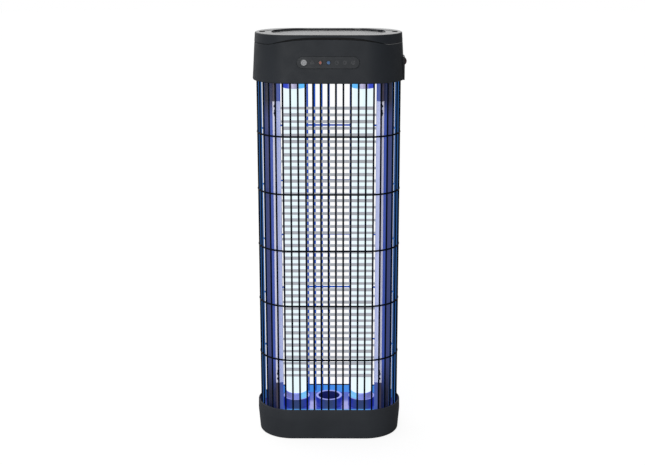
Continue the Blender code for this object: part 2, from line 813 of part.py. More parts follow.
def make_upper_plate(mats):
    """Chassis plate of the head, with posts for the driver board."""
    top = UPPER_Z + UPPER_T
    rings = [stadium(HALF_STRAIGHT, UPPER_R, z) for z in (UPPER_Z, top)]
    plate = loft("upper_plate", rings, mats["chassis"])
    posts = []
    for x in (DRIVER_X[0] + 4.0 * MM, DRIVER_X[1] - 3.0 * MM):
        for y in (-16.0 * MM, 16.0 * MM):
            posts.append(((x, y, 0.0), "Z", 2.5 * MM, UPPER_Z + MM, DRIVER_Z - GAP))
    combine(plate, cylinders_cutter("upper_plate_posts", posts, 10), "UNION")
    bores = [((side * LAMP_X, 0.0, top), "Z", COLLAR_BORE_R, -5.0 * MM, 5.0 * MM) for _, side in sides()]
    combine(plate, cylinders_cutter("upper_plate_bores", bores, 24), "DIFFERENCE")
    holes = rod_and_cable_holes(top)
    for x, y in head_boss_places():
        holes.append(((x, y, top), "Z", 1.5 * MM, -5.0 * MM, 5.0 * MM))
    combine(plate, cylinders_cutter("upper_plate_holes", holes, 12), "DIFFERENCE")
    notch_low = (SOCKET_X - 0.5 * MM, -SIDE_HALF_Y - 0.5 * MM, UPPER_Z - MM)
    notch_high = (SIDE_X[1], SIDE_HALF_Y + 0.5 * MM, top + MM)
    combine(plate, boxes_cutter("upper_plate_notch", [(notch_low, notch_high)]), "DIFFERENCE")
    return plate


def make_head_shell(mats):
    """Wall of the head up to the seam, open below and above."""
    low = HEAD_Z
    edge = HEAD_Z + HEAD_EDGE
    mid = 450.0 * MM
    rings = [
        stadium(HALF_STRAIGHT, head_radius(low) - SHELL_WALL, low),
        stadium(HALF_STRAIGHT, head_radius(low) - HEAD_EDGE * 0.7, low),
        stadium(HALF_STRAIGHT, head_radius(edge), edge),
        stadium(HALF_STRAIGHT, head_radius(mid), mid),
        seam_ring(head_radius(SEAM_Z), -SEAM_GAP / 2.0),
        seam_ring(head_radius(SEAM_Z) - SHELL_WALL, -SEAM_GAP / 2.0),
    ]
    shell = loft("head_shell", rings, mats["housing"], closed=True)
    boss_low = UPPER_Z + UPPER_T + GAP
    bosses = []
    bores = []
    for x, y in head_boss_places():
        near, far = sorted((y - math.copysign(HEAD_BOSS_R, y), math.copysign(HEAD_BOSS_REACH, y)))
        low_corner = (x - HEAD_BOSS_R, near, boss_low)
        bosses.append((low_corner, (x + HEAD_BOSS_R, far, boss_low + 12.0 * MM)))
        bores.append(((x, y, 0.0), "Z", 1.3 * MM, boss_low - MM, boss_low + 9.0 * MM))
    combine(shell, boxes_cutter("head_bosses", bosses), "UNION")
    combine(shell, cylinders_cutter("head_boss_bores", bores, 10), "DIFFERENCE")
    combine(shell, panel_solid("head_panel_hole", GAP, 6.0 * MM, 8.0 * MM, None), "DIFFERENCE")
    low_corner = (SIDE_X[0] - 8.0 * MM, -SIDE_HALF_Y - GAP, SIDE_Z[0] - GAP)
    high_corner = (SIDE_X[1] + 5.0 * MM, SIDE_HALF_Y + GAP, SIDE_Z[1] + GAP)
    combine(shell, boxes_cutter("head_side_hole", [(low_corner, high_corner)]), "DIFFERENCE")
    return shell


def make_head_screws(mats):
    """Screws that hold the head shell down on the upper plate."""
    head_low = UPPER_Z - GAP - 1.6 * MM
    head_high = UPPER_Z - GAP
    names = ("front_left", "front_right", "rear_left", "rear_right")
    for label, (x, y) in zip(names, head_boss_places()):
        profile = [
            (2.6 * MM, head_low),
            (2.6 * MM, head_high),
            (1.0 * MM, head_high),
            (1.0 * MM, UPPER_Z + UPPER_T + 8.0 * MM),
        ]
        turned(f"head_screw_{label}", profile, mats["steel"], (x, y, 0.0), steps=12)


def handle_path():
    """Centre line of the handle between its two pivots, from the left to the right."""
    knee_x, knee_y = HANDLE_KNEE
    reach = math.hypot(knee_x - HANDLE_ARC_X, knee_y)
    tangent = math.atan2(knee_y, knee_x - HANDLE_ARC_X) + math.acos(HANDLE_ARC_R / reach)
    steps = 5
    right = []
    for i in range(steps + 1):
        angle = math.pi / 2.0 + (tangent - math.pi / 2.0) * i / steps
        x = HANDLE_ARC_X + HANDLE_ARC_R * math.cos(angle)
        right.append(Vector((x, HANDLE_ARC_R * math.sin(angle), 0.0)))
    right.append(Vector((knee_x, knee_y, 0.0)))
    right.append(Vector((HANDLE_X, 0.0, 0.0)))
    left = [Vector((-p.x, p.y, 0.0)) for p in reversed(right)]
    return left + right


def sweep(name, path, section, z, mat):
    """Sweeps a section of (sideways, up) pairs along a level path, with mitred corners."""
    rings = []
    for i, point in enumerate(path):
        before = (point - path[max(i - 1, 0)]).normalized()
        after = (path[min(i + 1, len(path) - 1)] - point).normalized()
        along = (before + after).normalized()
        straight = after if after.length > 0.0 else before
        stretch = 1.0 / max(along.dot(straight), 0.5)
        sideways = Vector((along.y, -along.x, 0.0)) * stretch
        rings.append([point + sideways * a + Vector((0.0, 0.0, z + b)) for a, b in section])
    return loft(name, rings, mat)


def make_top_cover(mats):
    """Lid with a shallow recess, pivot pockets, a groove for the handle and a locating lip."""
    rim_r = head_radius(HEAD_TOP - HEAD_EDGE)
    lip_r = head_radius(SEAM_Z) - SHELL_WALL - GAP
    lip_inner = lip_r - 1.5 * MM
    rings = [
        stadium(RECESS_HALF, RECESS_R - 0.3 * MM, RECESS_Z),
        stadium(RECESS_HALF, RECESS_R, HEAD_TOP),
        stadium(HALF_STRAIGHT, rim_r - HEAD_EDGE, HEAD_TOP),
        stadium(HALF_STRAIGHT, rim_r, HEAD_TOP - HEAD_EDGE),
        seam_ring(head_radius(SEAM_Z), SEAM_GAP / 2.0),
        seam_ring(lip_r, SEAM_GAP / 2.0),
        seam_ring(lip_r, -LIP_DROP),
        seam_ring(lip_inner, -LIP_DROP),
        stadium(HALF_STRAIGHT, lip_inner, CEILING_Z),
    ]
    cover = loft("top_cover", rings, mats["housing"])
    width = HANDLE_R + GAP
    floor = -HANDLE_R - GAP
    channel = [(-width, floor), (width, floor), (width, 5.0 * MM), (-width, 5.0 * MM)]
    groove = sweep("cover_groove", handle_path(), channel, HANDLE_Z, None)
    combine(cover, groove, "DIFFERENCE")
    pockets = []
    bores = []
    for _, side in sides():
        pockets.append(((side * HANDLE_X, 0.0, 0.0), "Z", POCKET_R, POCKET_Z, HEAD_TOP + MM))
        near, far = sorted((side * HANDLE_X, side * (HANDLE_TIP_X + GAP)))
        bores.append(((0.0, 0.0, HANDLE_Z), "X", HANDLE_R + GAP, near, far))
    combine(cover, cylinders_cutter("cover_pockets", pockets, 20), "DIFFERENCE")
    combine(cover, cylinders_cutter("cover_bores", bores, 16), "DIFFERENCE")
    return cover


def make_handle(mats):
    """Bail handle, folded back into its groove; its parent empty is on the pivot axis."""
    path = [Vector((-HANDLE_TIP_X, 0.0, 0.0))] + handle_path() + [Vector((HANDLE_TIP_X, 0.0, 0.0))]
    section = []
    for i in range(8):
        angle = math.tau * (i + 0.5) / 8
        section.append((HANDLE_R * math.cos(angle), HANDLE_R * math.sin(angle)))
    pivot = bpy.data.objects.new("handle_pivot", None)
    bpy.context.scene.collection.objects.link(pivot)
    pivot.location = (0.0, 0.0, HANDLE_Z)
    handle = sweep("carry_handle", path, section, 0.0, mats["steel"])
    handle.parent = pivot
    return handle


# ---------------------------------------------------------------- front panel

def front_y(z):
    """Y of the head's front face at a height."""
    return -head_radius(z)


def panel_solid(name, grow, front, depth, mat):
    """A capsule that follows the slope of the front face, from a proud front to a depth."""
    radius = PANEL_HALF_H + grow
    half = PANEL_HALF_W - PANEL_HALF_H
    outline = []
    steps = 8
    for side in (1.0, -1.0):
        for i in range(steps + 1):
            angle = -math.pi / 2.0 + math.pi * i / steps
            x = side * (half + radius * math.cos(angle))
            outline.append((x, PANEL_Z + side * radius * math.sin(angle)))
    rings = []
    for offset in (-front, depth):
        rings.append([Vector((x, front_y(z) + offset, z)) for x, z in outline])
    return loft(name, rings, mat)


def icon_x(index):
    """X of a symbol on the panel, where 0 is the power button."""
    return BUTTON_X + ICON_PITCH * index


def make_panel(mats):
    """Glossy capsule panel with a bore for the button and for each indicator lens."""
    panel = panel_solid("control_panel", 0.0, PANEL_PROUD, PANEL_DEPTH, mats["panel"])
    y = front_y(PANEL_Z)
    holes = [((BUTTON_X, y, PANEL_Z), "Y", BUTTON_R + GAP, -3.0 * MM, 6.0 * MM)]
    for index in (2, 3):
        holes.append(((icon_x(index), y, PANEL_Z), "Y", LENS_R + GAP, -3.0 * MM, 6.0 * MM))
    combine(panel, cylinders_cutter("panel_holes", holes, 20), "DIFFERENCE")
    return panel


def make_button(mats):
    """Power button with a retaining flange and a stem towards its switch."""
    profile = [
        (BUTTON_R - 0.4 * MM, -0.5 * MM),
        (BUTTON_R, -0.1 * MM),
        (BUTTON_R, 3.5 * MM),
        (BUTTON_R + 0.9 * MM, 3.5 * MM),
        (BUTTON_R + 0.9 * MM, 4.4 * MM),
        (1.5 * MM, 4.4 * MM),
        (1.5 * MM, 6.4 * MM),
    ]
    centre = (BUTTON_X, front_y(PANEL_Z), PANEL_Z)
    return turned("power_button", profile, mats["silver"], centre, "Y", 20)


def make_lenses(mats):
    """Indicator lenses, each with a flange behind the panel."""
    for index, name, mat in ((2, "indicator_red", "red_lens"), (3, "indicator_blue", "blue_lens")):
        profile = [
            (LENS_R - 0.3 * MM, -0.35 * MM),
            (LENS_R, -0.1 * MM),
            (LENS_R, 3.5 * MM),
            (LENS_R + 0.8 * MM, 3.5 * MM),
            (LENS_R + 0.8 * MM, 4.5 * MM),
        ]
        centre = (icon_x(index), front_y(PANEL_Z), PANEL_Z)
        turned(name, profile, mats[mat], centre, "Y", 16)


BOARD_DEPTH = (9.0 * MM, 10.6 * MM)
TACT_H = 1.5 * MM


def make_control_board(mats):
    """Circuit board behind the panel and the push switch under the button."""
    near = front_y(PANEL_Z) + BOARD_DEPTH[0]
    far = front_y(PANEL_Z) + BOARD_DEPTH[1]
    low = (-36.0 * MM, near, PANEL_Z - 3.0 * MM)
    high = (36.0 * MM, far, PANEL_Z + 11.0 * MM)
    box("control_board", low, high, mats["circuit"])
    half = 2.5 * MM
    low = (BUTTON_X - half, near - GAP - TACT_H, PANEL_Z - half)
    high = (BUTTON_X + half, near - GAP, PANEL_Z + half)
    box("tact_switch", low, high, mats["potting"])


# ---------------------------------------------------------------- electronics

DRIVER_X = (-72.0 * MM, -20.0 * MM)
DRIVER_Z = 449.0 * MM


def make_electronics(mats):
    """High-voltage module, lamp driver board and the two tall parts on it."""
    low = (24.0 * MM, -16.0 * MM, 446.6 * MM)
    high = (68.0 * MM, 16.0 * MM, 464.0 * MM)
    module = box("hv_module", low, high, mats["potting"])
    bevel = module.modifiers.new("edges", "BEVEL")
    bevel.width = 1.5 * MM
    bevel.segments = 1
    low = (DRIVER_X[0], -20.0 * MM, DRIVER_Z)
    high = (DRIVER_X[1], 20.0 * MM, DRIVER_Z + 1.6 * MM)
    box("lamp_driver_board", low, high, mats["circuit"])
    top = DRIVER_Z + 1.6 * MM + GAP
    low = (-56.0 * MM, -10.0 * MM, top)
    high = (-38.0 * MM, 8.0 * MM, top + 14.0 * MM)
    box("driver_transformer", low, high, mats["copper"])
    profile = rod_profile(5.0 * MM, top, top + 15.0 * MM)
    turned("driver_capacitor", profile, mats["potting"], (-29.0 * MM, 4.0 * MM, 0.0), steps=16)


# ---------------------------------------------------------------- side switch

def make_side_plate(mats):
    """Plate on the right side with a window for the rocker and one for the power socket."""
    low = (SIDE_X[0], -SIDE_HALF_Y, SIDE_Z[0])
    high = (SIDE_X[1], SIDE_HALF_Y, SIDE_Z[1])
    plate = box("side_switch_plate", low, high, mats["panel"])
    pivot_x, pivot_z = ROCKER_PIVOT
    half_y = ROCKER_HALF_Y + 0.4 * MM
    half_z = ROCKER_HALF_H + 0.4 * MM
    rocker_window = (
        (SIDE_X[0] - MM, -half_y, pivot_z - half_z),
        (SIDE_X[1] + MM, half_y, pivot_z + half_z),
    )
    socket_window = (
        (SIDE_X[0] - MM, -SOCKET_HALF_Y - GAP, SOCKET_Z[0] - GAP),
        (SIDE_X[1] + MM, SOCKET_HALF_Y + GAP, SOCKET_Z[1] + GAP),
    )
    cutter = boxes_cutter("side_windows", [rocker_window, socket_window])
    combine(plate, cutter, "DIFFERENCE")
    reach = TRUNNION_Y + GAP
    bore = [((pivot_x, 0.0, pivot_z), "Y", TRUNNION_R + GAP, -reach, reach)]
    combine(plate, cylinders_cutter("side_rocker_bore", bore, 12), "DIFFERENCE")
    return plate


SOCKET_X = 76.0 * MM
SOCKET_HALF_Y = 7.0 * MM
SOCKET_Z = (431.0 * MM, 441.0 * MM)
TRUNNION_R = 0.8 * MM
TRUNNION_Y = 6.0 * MM


def make_rocker(mats):
    """Rocker with a rounded face; its origin is on the pivot."""
    pivot_x, pivot_z = ROCKER_PIVOT
    tip = ROCKER_HALF_H
    outline = [
        (-2.0 * MM, -tip + MM),
        (1.8 * MM, -tip),
        (3.5 * MM, -tip / 2.0),
        (4.1 * MM, 0.0),
        (3.5 * MM, tip / 2.0),
        (1.8 * MM, tip),
        (-2.0 * MM, tip - MM),
    ]
    turned_outline = []
    for x, z in outline:
        tilted_x = x * math.cos(ROCKER_TILT) + z * math.sin(ROCKER_TILT)
        tilted_z = -x * math.sin(ROCKER_TILT) + z * math.cos(ROCKER_TILT)
        turned_outline.append((tilted_x, tilted_z))
    rocker = extruded(
        "rocker_switch", turned_outline, "Y", -ROCKER_HALF_Y, ROCKER_HALF_Y, mats["switch"]
    )
    pin = [((0.0, 0.0, 0.0), "Y", TRUNNION_R, -TRUNNION_Y, TRUNNION_Y)]
    cutter = cylinders_cutter("rocker_pin", pin, 12)
    cutter.parent = rocker
    combine(rocker, cutter, "UNION")
    rocker.location = (pivot_x, 0.0, pivot_z)
    return rocker


def make_power_socket(mats):
    """Mains socket with a rounded recess and two pins in it."""
    low = (SOCKET_X, -SOCKET_HALF_Y, SOCKET_Z[0])
    high = (SIDE_X[1] - 0.3 * MM, SOCKET_HALF_Y, SOCKET_Z[1])
    socket = box("power_socket", low, high, mats["potting"])
    centre_z = (SOCKET_Z[0] + SOCKET_Z[1]) / 2.0
    lobe_y = 2.6 * MM
    lobe_r = 3.4 * MM
    outline = []
    steps = 6
    for side in (1.0, -1.0):
        for i in range(steps + 1):
            angle = -math.pi / 2.0 + math.pi * i / steps
            y = side * (lobe_y + lobe_r * math.cos(angle))
            outline.append((y, centre_z + side * lobe_r * math.sin(angle)))
    rings = []
    for x in (80.0 * MM, SIDE_X[1] + MM):
        rings.append([Vector((x, y, z)) for y, z in outline])
    combine(socket, loft("socket_recess", rings, None), "DIFFERENCE")
    pins = [
        ((0.0, side * lobe_y, centre_z), "X", 0.9 * MM, 79.0 * MM, 85.0 * MM)
        for _, side in sides()
    ]
    combine(socket, cylinders_cutter("socket_pins", pins, 10), "UNION")
    return socket


# ---------------------------------------------------------------- build

def clear_scene():
    """Removes every object of the current scene."""
    for obj in list(bpy.context.scene.objects):
        bpy.data.objects.remove(obj, do_unlink=True)


def build():
    """Makes every piece in its place."""
    clear_scene()
    mats = make_materials()
    make_base(mats)
    make_feet(mats)
    make_socket_plate(mats)
    make_drawer(mats)
    make_columns(mats)
    make_tie_rods(mats)
    make_lamp_cables(mats)
    make_lamp_holders(mats)
    make_lamps(mats)
    make_electrode("hv_electrode_live", -1.0, 0, mats)
    make_electrode("hv_electrode_return", 1.0, 1, mats)
    make_grid_boards(mats)
    make_grid_brackets(mats)
    make_board_screws(mats)
    make_guard(mats)
    make_upper_plate(mats)
    make_head_shell(mats)
    make_head_screws(mats)
    make_top_cover(mats)
    make_handle(mats)
    make_panel(mats)
    make_button(mats)
    make_lenses(mats)
    make_control_board(mats)
    make_electronics(mats)
    make_side_plate(mats)
    make_rocker(mats)
    make_power_socket(mats)


build()
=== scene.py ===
"""Looks of the electric bug zapper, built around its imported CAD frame."""
import json
import math

import bmesh
import bpy
from mathutils import Matrix, Vector


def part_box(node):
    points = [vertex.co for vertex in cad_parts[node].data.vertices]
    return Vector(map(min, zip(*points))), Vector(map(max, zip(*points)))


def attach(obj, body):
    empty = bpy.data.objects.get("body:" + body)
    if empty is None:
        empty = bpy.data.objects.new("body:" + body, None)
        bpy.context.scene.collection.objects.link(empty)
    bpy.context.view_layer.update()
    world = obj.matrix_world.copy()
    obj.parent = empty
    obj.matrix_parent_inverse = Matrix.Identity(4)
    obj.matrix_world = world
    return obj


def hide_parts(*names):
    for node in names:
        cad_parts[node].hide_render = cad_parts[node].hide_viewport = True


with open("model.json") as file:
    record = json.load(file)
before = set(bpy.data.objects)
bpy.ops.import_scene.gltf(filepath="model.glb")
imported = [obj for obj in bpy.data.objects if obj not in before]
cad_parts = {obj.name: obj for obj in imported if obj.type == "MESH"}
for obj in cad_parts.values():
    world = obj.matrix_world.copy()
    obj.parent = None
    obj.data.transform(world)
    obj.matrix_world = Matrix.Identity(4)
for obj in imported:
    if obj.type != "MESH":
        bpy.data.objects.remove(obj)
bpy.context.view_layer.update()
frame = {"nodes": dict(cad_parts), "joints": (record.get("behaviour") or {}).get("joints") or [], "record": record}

MM = 0.001
scene = bpy.context.scene
scene.view_settings.view_transform = "Standard"

# ---------------------------------------------------------------- sizes taken from the frame

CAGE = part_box("outer_cage")
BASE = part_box("base_housing")
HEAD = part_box("head_shell")
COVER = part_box("top_cover")
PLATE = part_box("socket_plate")
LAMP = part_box("lamp_tube_right")
HALF = CAGE[1].x - CAGE[1].y
LAMP_X = (LAMP[0].x + LAMP[1].x) / 2.0
TOP = COVER[1].z

ARC = 40
STRAIGHT = 26

BASE_R = BASE[1].y
BASE_TAPER = 2.2 * MM
BASE_WIDE_Z = 26.0 * MM
BASE_RIM_R = BASE_R - 0.2 * MM
HEAD_TAPER = 3.15 * MM
HEAD_R = HEAD[1].y
SHELL = 2.5 * MM

SEAM_Z = COVER[0].z + 4.0 * MM
SEAM_RISE = 6.2 * MM
SEAM_HALF = 66.0 * MM
SEAM_GAP = 0.5 * MM
SEAM_FRONT_GAP = 2.0 * MM

WIRE_R = 1.05 * MM
WIRE_LINE_R = CAGE[1].y - 1.5 * MM
WIRE_PITCH = 8.48 * MM
HOOP_R = 1.05 * MM
HOOP_Z = [CAGE[0].z + (69.4 + 66.7 * i) * MM for i in range(5)]
WIRE_COUNT = 48

ROD_R = 2.0 * MM
GRID_COUNT = 43

PIVOT_X = 75.0 * MM

# depth of the moulded grain and of the drawing marks, light levels

GRAIN_DEPTH = 0.04 * MM
MARK_DEPTH = 0.03 * MM
LAMP_POWER = 1.2
STUDIO_FRONT = 0.45
STUDIO_BACK = 0.9
STUDIO_RIGHT = 0.12
STUDIO_LEFT = 1.25


# ---------------------------------------------------------------- node material helpers

class Graph:
    """A small helper that adds and links nodes in one material."""

    def __init__(self, name):
        self.mat = bpy.data.materials.new(name)
        self.mat.use_nodes = True
        self.nodes = self.mat.node_tree.nodes
        self.links = self.mat.node_tree.links
        self.shader = self.nodes["Principled BSDF"]
        self.coords = self.add("ShaderNodeTexCoord").outputs["Object"]

    def add(self, kind, **values):
        node = self.nodes.new(kind)
        for key, value in values.items():
            setattr(node, key, value)
        return node

    def set(self, node, name, value):
        """Links a socket, or sets a plain value, on a node's input."""
        target = node.inputs[name]
        if isinstance(value, tuple) and target.type == "RGBA":
            value = (*value, 1.0)
        if isinstance(value, bpy.types.NodeSocket):
            self.links.new(value, target)
        else:
            target.default_value = value

    def noise(self, scale, detail=2.0, stretch=(1.0, 1.0, 1.0)):
        """A noise value from 0 to 1, optionally stretched along an axis."""
        mapping = self.add("ShaderNodeMapping")
        self.set(mapping, "Vector", self.coords)
        self.set(mapping, "Scale", stretch)
        node = self.add("ShaderNodeTexNoise")
        self.set(node, "Vector", mapping.outputs["Vector"])
        self.set(node, "Scale", scale)
        self.set(node, "Detail", detail)
        return node.outputs["Fac"]

    def spread(self, value, low=0.0, high=1.0, start=0.3, end=0.7):
        """Maps a value from start..end to low..high."""
        node = self.add("ShaderNodeMapRange")
        self.set(node, "Value", value)
        self.set(node, "From Min", start)
        self.set(node, "From Max", end)
        self.set(node, "To Min", low)
        self.set(node, "To Max", high)
        return node.outputs["Result"]

    def mix(self, fac, a, b):
        """Mixes two colours."""
        node = self.add("ShaderNodeMix", data_type="RGBA")
        self.set(node, 0, fac)
        self.set(node, 6, a)
        self.set(node, 7, b)
        return node.outputs[2]

    def maths(self, operation, a, b=0.0, clamp=False):
        node = self.add("ShaderNodeMath", operation=operation, use_clamp=clamp)
        self.set(node, 0, a)
        self.set(node, 1, b)
        return node.outputs[0]

    def axis(self, letter):
        """One coordinate of the point, in metres."""
        node = self.add("ShaderNodeSeparateXYZ")
        self.set(node, "Vector", self.coords)
        return node.outputs[letter]

    def bump(self, height, strength, distance=GRAIN_DEPTH):
        node = self.add("ShaderNodeBump")
        self.set(node, "Height", height)
        self.set(node, "Strength", strength)
        self.set(node, "Distance", distance)
        self.set(self.shader, "Normal", node.outputs["Normal"])

    def rise(self, value, start, end):
        """Goes from 0 at start to 1 at end."""
        return self.spread(value, 0.0, 1.0, start, end)

    def fall(self, value, start, end):
        """Goes from 1 at start to 0 at end."""
        return self.spread(value, 1.0, 0.0, start, end)

    def across(self):
        """Distance from the plane between the lamps."""
        return self.maths("ABSOLUTE", self.axis("X"))

    def colour(self, value):
        self.set(self.shader, "Base Color", value)

    def roughness(self, value):
        self.set(self.shader, "Roughness", value)

    def specular(self, value):
        self.set(self.shader, "Specular IOR Level", value)

    def glow(self, colour, strength):
        self.set(self.shader, "Emission Color", colour)
        self.set(self.shader, "Emission Strength", strength)


def plastic(name, colour, roughness, grain=1500.0, bump=0.25, specular=0.5, mottle=0.1):
    """Moulded plastic with a fine spark-eroded grain and slight colour drift."""
    g = Graph(name)
    drift = g.spread(g.noise(22.0))
    darker = tuple(c * (1.0 - mottle) for c in colour)
    lighter = tuple(c * (1.0 + mottle) for c in colour)
    g.colour(g.mix(drift, darker, lighter))
    rough = g.spread(g.noise(90.0, 3.0), roughness - 0.05, roughness + 0.05)
    g.roughness(rough)
    g.specular(specular)
    g.bump(g.noise(grain, 2.0), bump)
    return g.mat


def metal(name, colour, roughness, stretch=(1.0, 1.0, 1.0), bump=0.15, metallic=1.0):
    """Metal with fine drawing or brushing marks along the stretched axis."""
    g = Graph(name)
    marks = g.noise(900.0, 3.0, stretch)
    darker = tuple(c * 0.88 for c in colour)
    g.colour(g.mix(g.spread(marks), darker, colour))
    g.set(g.shader, "Metallic", metallic)
    g.roughness(g.spread(marks, roughness - 0.07, roughness + 0.07))
    g.bump(marks, bump, MARK_DEPTH)
    return g.mat


# ---------------------------------------------------------------- materials

def lamp_material():
    """Phosphor glass: pale cyan-white to the eye, while the light it throws is deep blue."""
    g = Graph("lamp_phosphor")
    path = g.add("ShaderNodeLightPath").outputs["Is Camera Ray"]
    facing = g.add("ShaderNodeLayerWeight")
    g.set(facing, "Blend", 0.35)
    core = g.mix(g.rise(facing.outputs["Facing"], 0.2, 0.95),
                 (0.80, 0.96, 1.0), (0.95, 0.99, 1.0))
    streaks = g.spread(g.noise(260.0, 2.0, (1.0, 1.0, 0.03)), 0.0, 0.35)
    seen = g.mix(streaks, core, (0.97, 1.0, 1.0))
    g.colour((0.02, 0.02, 0.03))
    g.roughness(0.15)
    g.specular(0.2)
    colour = g.mix(path, (0.02, 0.10, 1.0), seen)
    g.glow(colour, g.spread(path, LAMP_POWER, 1.0, 0.0, 1.0))
    return g.mat


def cap_material(level):
    """Cap metal whose reflections are partly painted as a glow: cyan towards the middle, blue to the outside."""
    g = Graph(f"lamp_cap_metal_painted_reflection_{level}")
    marks = g.noise(900.0, 3.0, (1.0, 1.0, 0.08))
    across = g.maths("SUBTRACT", g.across(), abs(LAMP_X))
    inner = g.fall(across, -0.0068, -0.0030)
    outer = g.rise(across, 0.0032, 0.0072)
    # Painted reflection colours; the top caps get their own set.
    middle_reflection, outer_reflection, inner_reflection = (0.20, 0.24, 0.68), (0.16, 0.17, 0.46), (0.20, 0.60, 0.92)
    if level == "top":
        middle_reflection, outer_reflection, inner_reflection = (0.36, 0.34, 0.50), (0.045, 0.08, 0.60), (0.12, 0.55, 1.0)
    colour = g.mix(inner, middle_reflection, inner_reflection)
    colour = g.mix(outer, colour, outer_reflection)
    g.colour((0.22, 0.22, 0.26))
    g.set(g.shader, "Metallic", 0.9)
    g.roughness(g.spread(marks, 0.25, 0.4))
    g.bump(marks, 0.15, MARK_DEPTH)
    # The painted reflections are given as a glow over the real metal.
    g.glow(colour, 0.85)
    return g.mat


def inward(g):
    """How far a surface faces the pair of lamps: 0 away from them, 1 towards them."""
    geometry = g.add("ShaderNodeNewGeometry")
    split = g.add("ShaderNodeSeparateXYZ")
    g.set(split, "Vector", geometry.outputs["Position"])
    nearest = g.add("ShaderNodeClamp")
    g.set(nearest, "Value", split.outputs["X"])
    g.set(nearest, "Min", -abs(LAMP_X))
    g.set(nearest, "Max", abs(LAMP_X))
    aim = g.add("ShaderNodeCombineXYZ")
    g.set(aim, "X", nearest.outputs[0])
    g.set(aim, "Z", split.outputs["Z"])
    away = g.add("ShaderNodeVectorMath", operation="SUBTRACT")
    g.set(away, 0, aim.outputs[0])
    g.set(away, 1, geometry.outputs["Position"])
    unit = g.add("ShaderNodeVectorMath", operation="NORMALIZE")
    g.set(unit, 0, away.outputs[0])
    dot = g.add("ShaderNodeVectorMath", operation="DOT_PRODUCT")
    g.set(dot, 0, unit.outputs[0])
    g.set(dot, 1, geometry.outputs["Normal"])
    return dot.outputs["Value"]


def guard_material():
    """Near-black coated wire with a painted glow of blue lamp light where it faces the lamps."""
    g = Graph("guard_coat")
    drift = g.spread(g.noise(60.0))
    g.colour(g.mix(drift, (0.002, 0.004, 0.008), (0.004, 0.006, 0.011)))
    g.roughness(g.spread(g.noise(300.0), 0.4, 0.5))
    g.specular(0.06)
    g.bump(g.noise(2600.0), 0.3)
    # Painted light: a blue glow where the wire faces the lamps, paler azure at the ends of the cage.
    facing = g.rise(inward(g), 0.1, 0.85)
    end = g.rise(g.across(), 0.066, 0.076)
    colour = g.mix(end, (0.020, 0.095, 0.52), (0.040, 0.15, 0.44))
    g.glow(colour, g.maths("MULTIPLY", facing, 0.95))
    return g.mat


def column_material():
    """Dark moulding with painted blue-violet lamp light, as a glow that is faint everywhere and strongest at mid
    height.
    """
    g = Graph("column_plastic")
    grain = g.noise(1200.0)
    drift = g.spread(g.noise(18.0))
    g.colour(g.mix(drift, (0.036, 0.034, 0.042), (0.046, 0.041, 0.050)))
    g.roughness(0.38)
    g.bump(grain, 0.2)
    # Painted lamp light: a faint glow everywhere, stronger at mid height and bluest next to the board.
    height = g.axis("Z")
    low = g.rise(height, 0.05, 0.09)
    high = g.fall(height, 0.384, 0.404)
    middle = g.maths("MULTIPLY", low, high)
    across = g.across()
    near_board = g.fall(across, 0.0664, 0.0684)
    cast = g.mix(near_board, (0.026, 0.038, 0.145), (0.030, 0.070, 0.36))
    g.glow(cast, g.maths("ADD", g.maths("MULTIPLY", middle, 0.85), 0.12))
    return g.mat


def board_material():
    """White moulding with painted shade, near black, on its hidden faces; a painted glow lights its outer faces,
    whitish outside and pale blue as lamp light on the inner half.
    """
    g = Graph("board_plastic")
    drift = g.spread(g.noise(30.0))
    g.roughness(0.45)
    g.bump(g.noise(1300.0), 0.2)
    across = g.across()
    inner = g.fall(across, 0.0584, 0.0594)
    # Painted light: a whitish glow outside, pale blue for lamp light on the inner half.
    painted_glow = g.mix(inner, (0.28, 0.27, 0.31), (0.20, 0.25, 0.48))
    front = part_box("grid_board_right")[0].y
    flat = g.fall(g.axis("Y"), front + 0.4 * MM, front + 0.7 * MM)
    sloped = g.fall(g.axis("Y"), front + 3.2 * MM, front + 3.5 * MM)
    slope_zone = g.fall(across, 0.0584, 0.0590)
    outside = g.maths("MAXIMUM", flat, g.maths("MULTIPLY", sloped, slope_zone))
    skin_side = g.rise(across, 0.0622, 0.0626)
    outside = g.maths("MAXIMUM", outside, skin_side)
    plain = g.mix(drift, (0.60, 0.60, 0.64), (0.70, 0.69, 0.74))
    # Painted shade: all but the outer faces are near black; the outer faces carry the painted glow.
    g.colour(g.mix(outside, (0.01, 0.01, 0.012), plain))
    g.glow(painted_glow, g.maths("MULTIPLY", outside, 0.8))
    return g.mat


def rod_material():
    """Brushed grid rod, kept an even pale grey against the lamps by a painted glow."""
    g = Graph("grid_rod")
    marks = g.noise(900.0, 3.0, (0.03, 1.0, 1.0))
    g.colour(g.mix(g.spread(marks), (0.16, 0.165, 0.17), (0.20, 0.205, 0.21)))
    g.specular(0.15)
    g.roughness(g.spread(marks, 0.5, 0.65))
    g.bump(marks, 0.15, MARK_DEPTH)
    # Painted light: a pale glow that evens out the rod's shading.
    g.glow((0.92, 0.95, 1.0), 0.33)
    return g.mat


def lid_material():
    """Satin lid plastic that mirrors the backdrop at a low angle."""
    g = Graph("lid_satin")
    drift = g.spread(g.noise(22.0))
    g.colour(g.mix(drift, (0.030, 0.034, 0.040), (0.036, 0.040, 0.046)))
    g.roughness(g.spread(g.noise(90.0, 3.0), 0.19, 0.21))
    g.set(g.shader, "IOR", 1.8)
    g.bump(g.noise(1500.0), 0.02, 0.00001)
    return g.mat


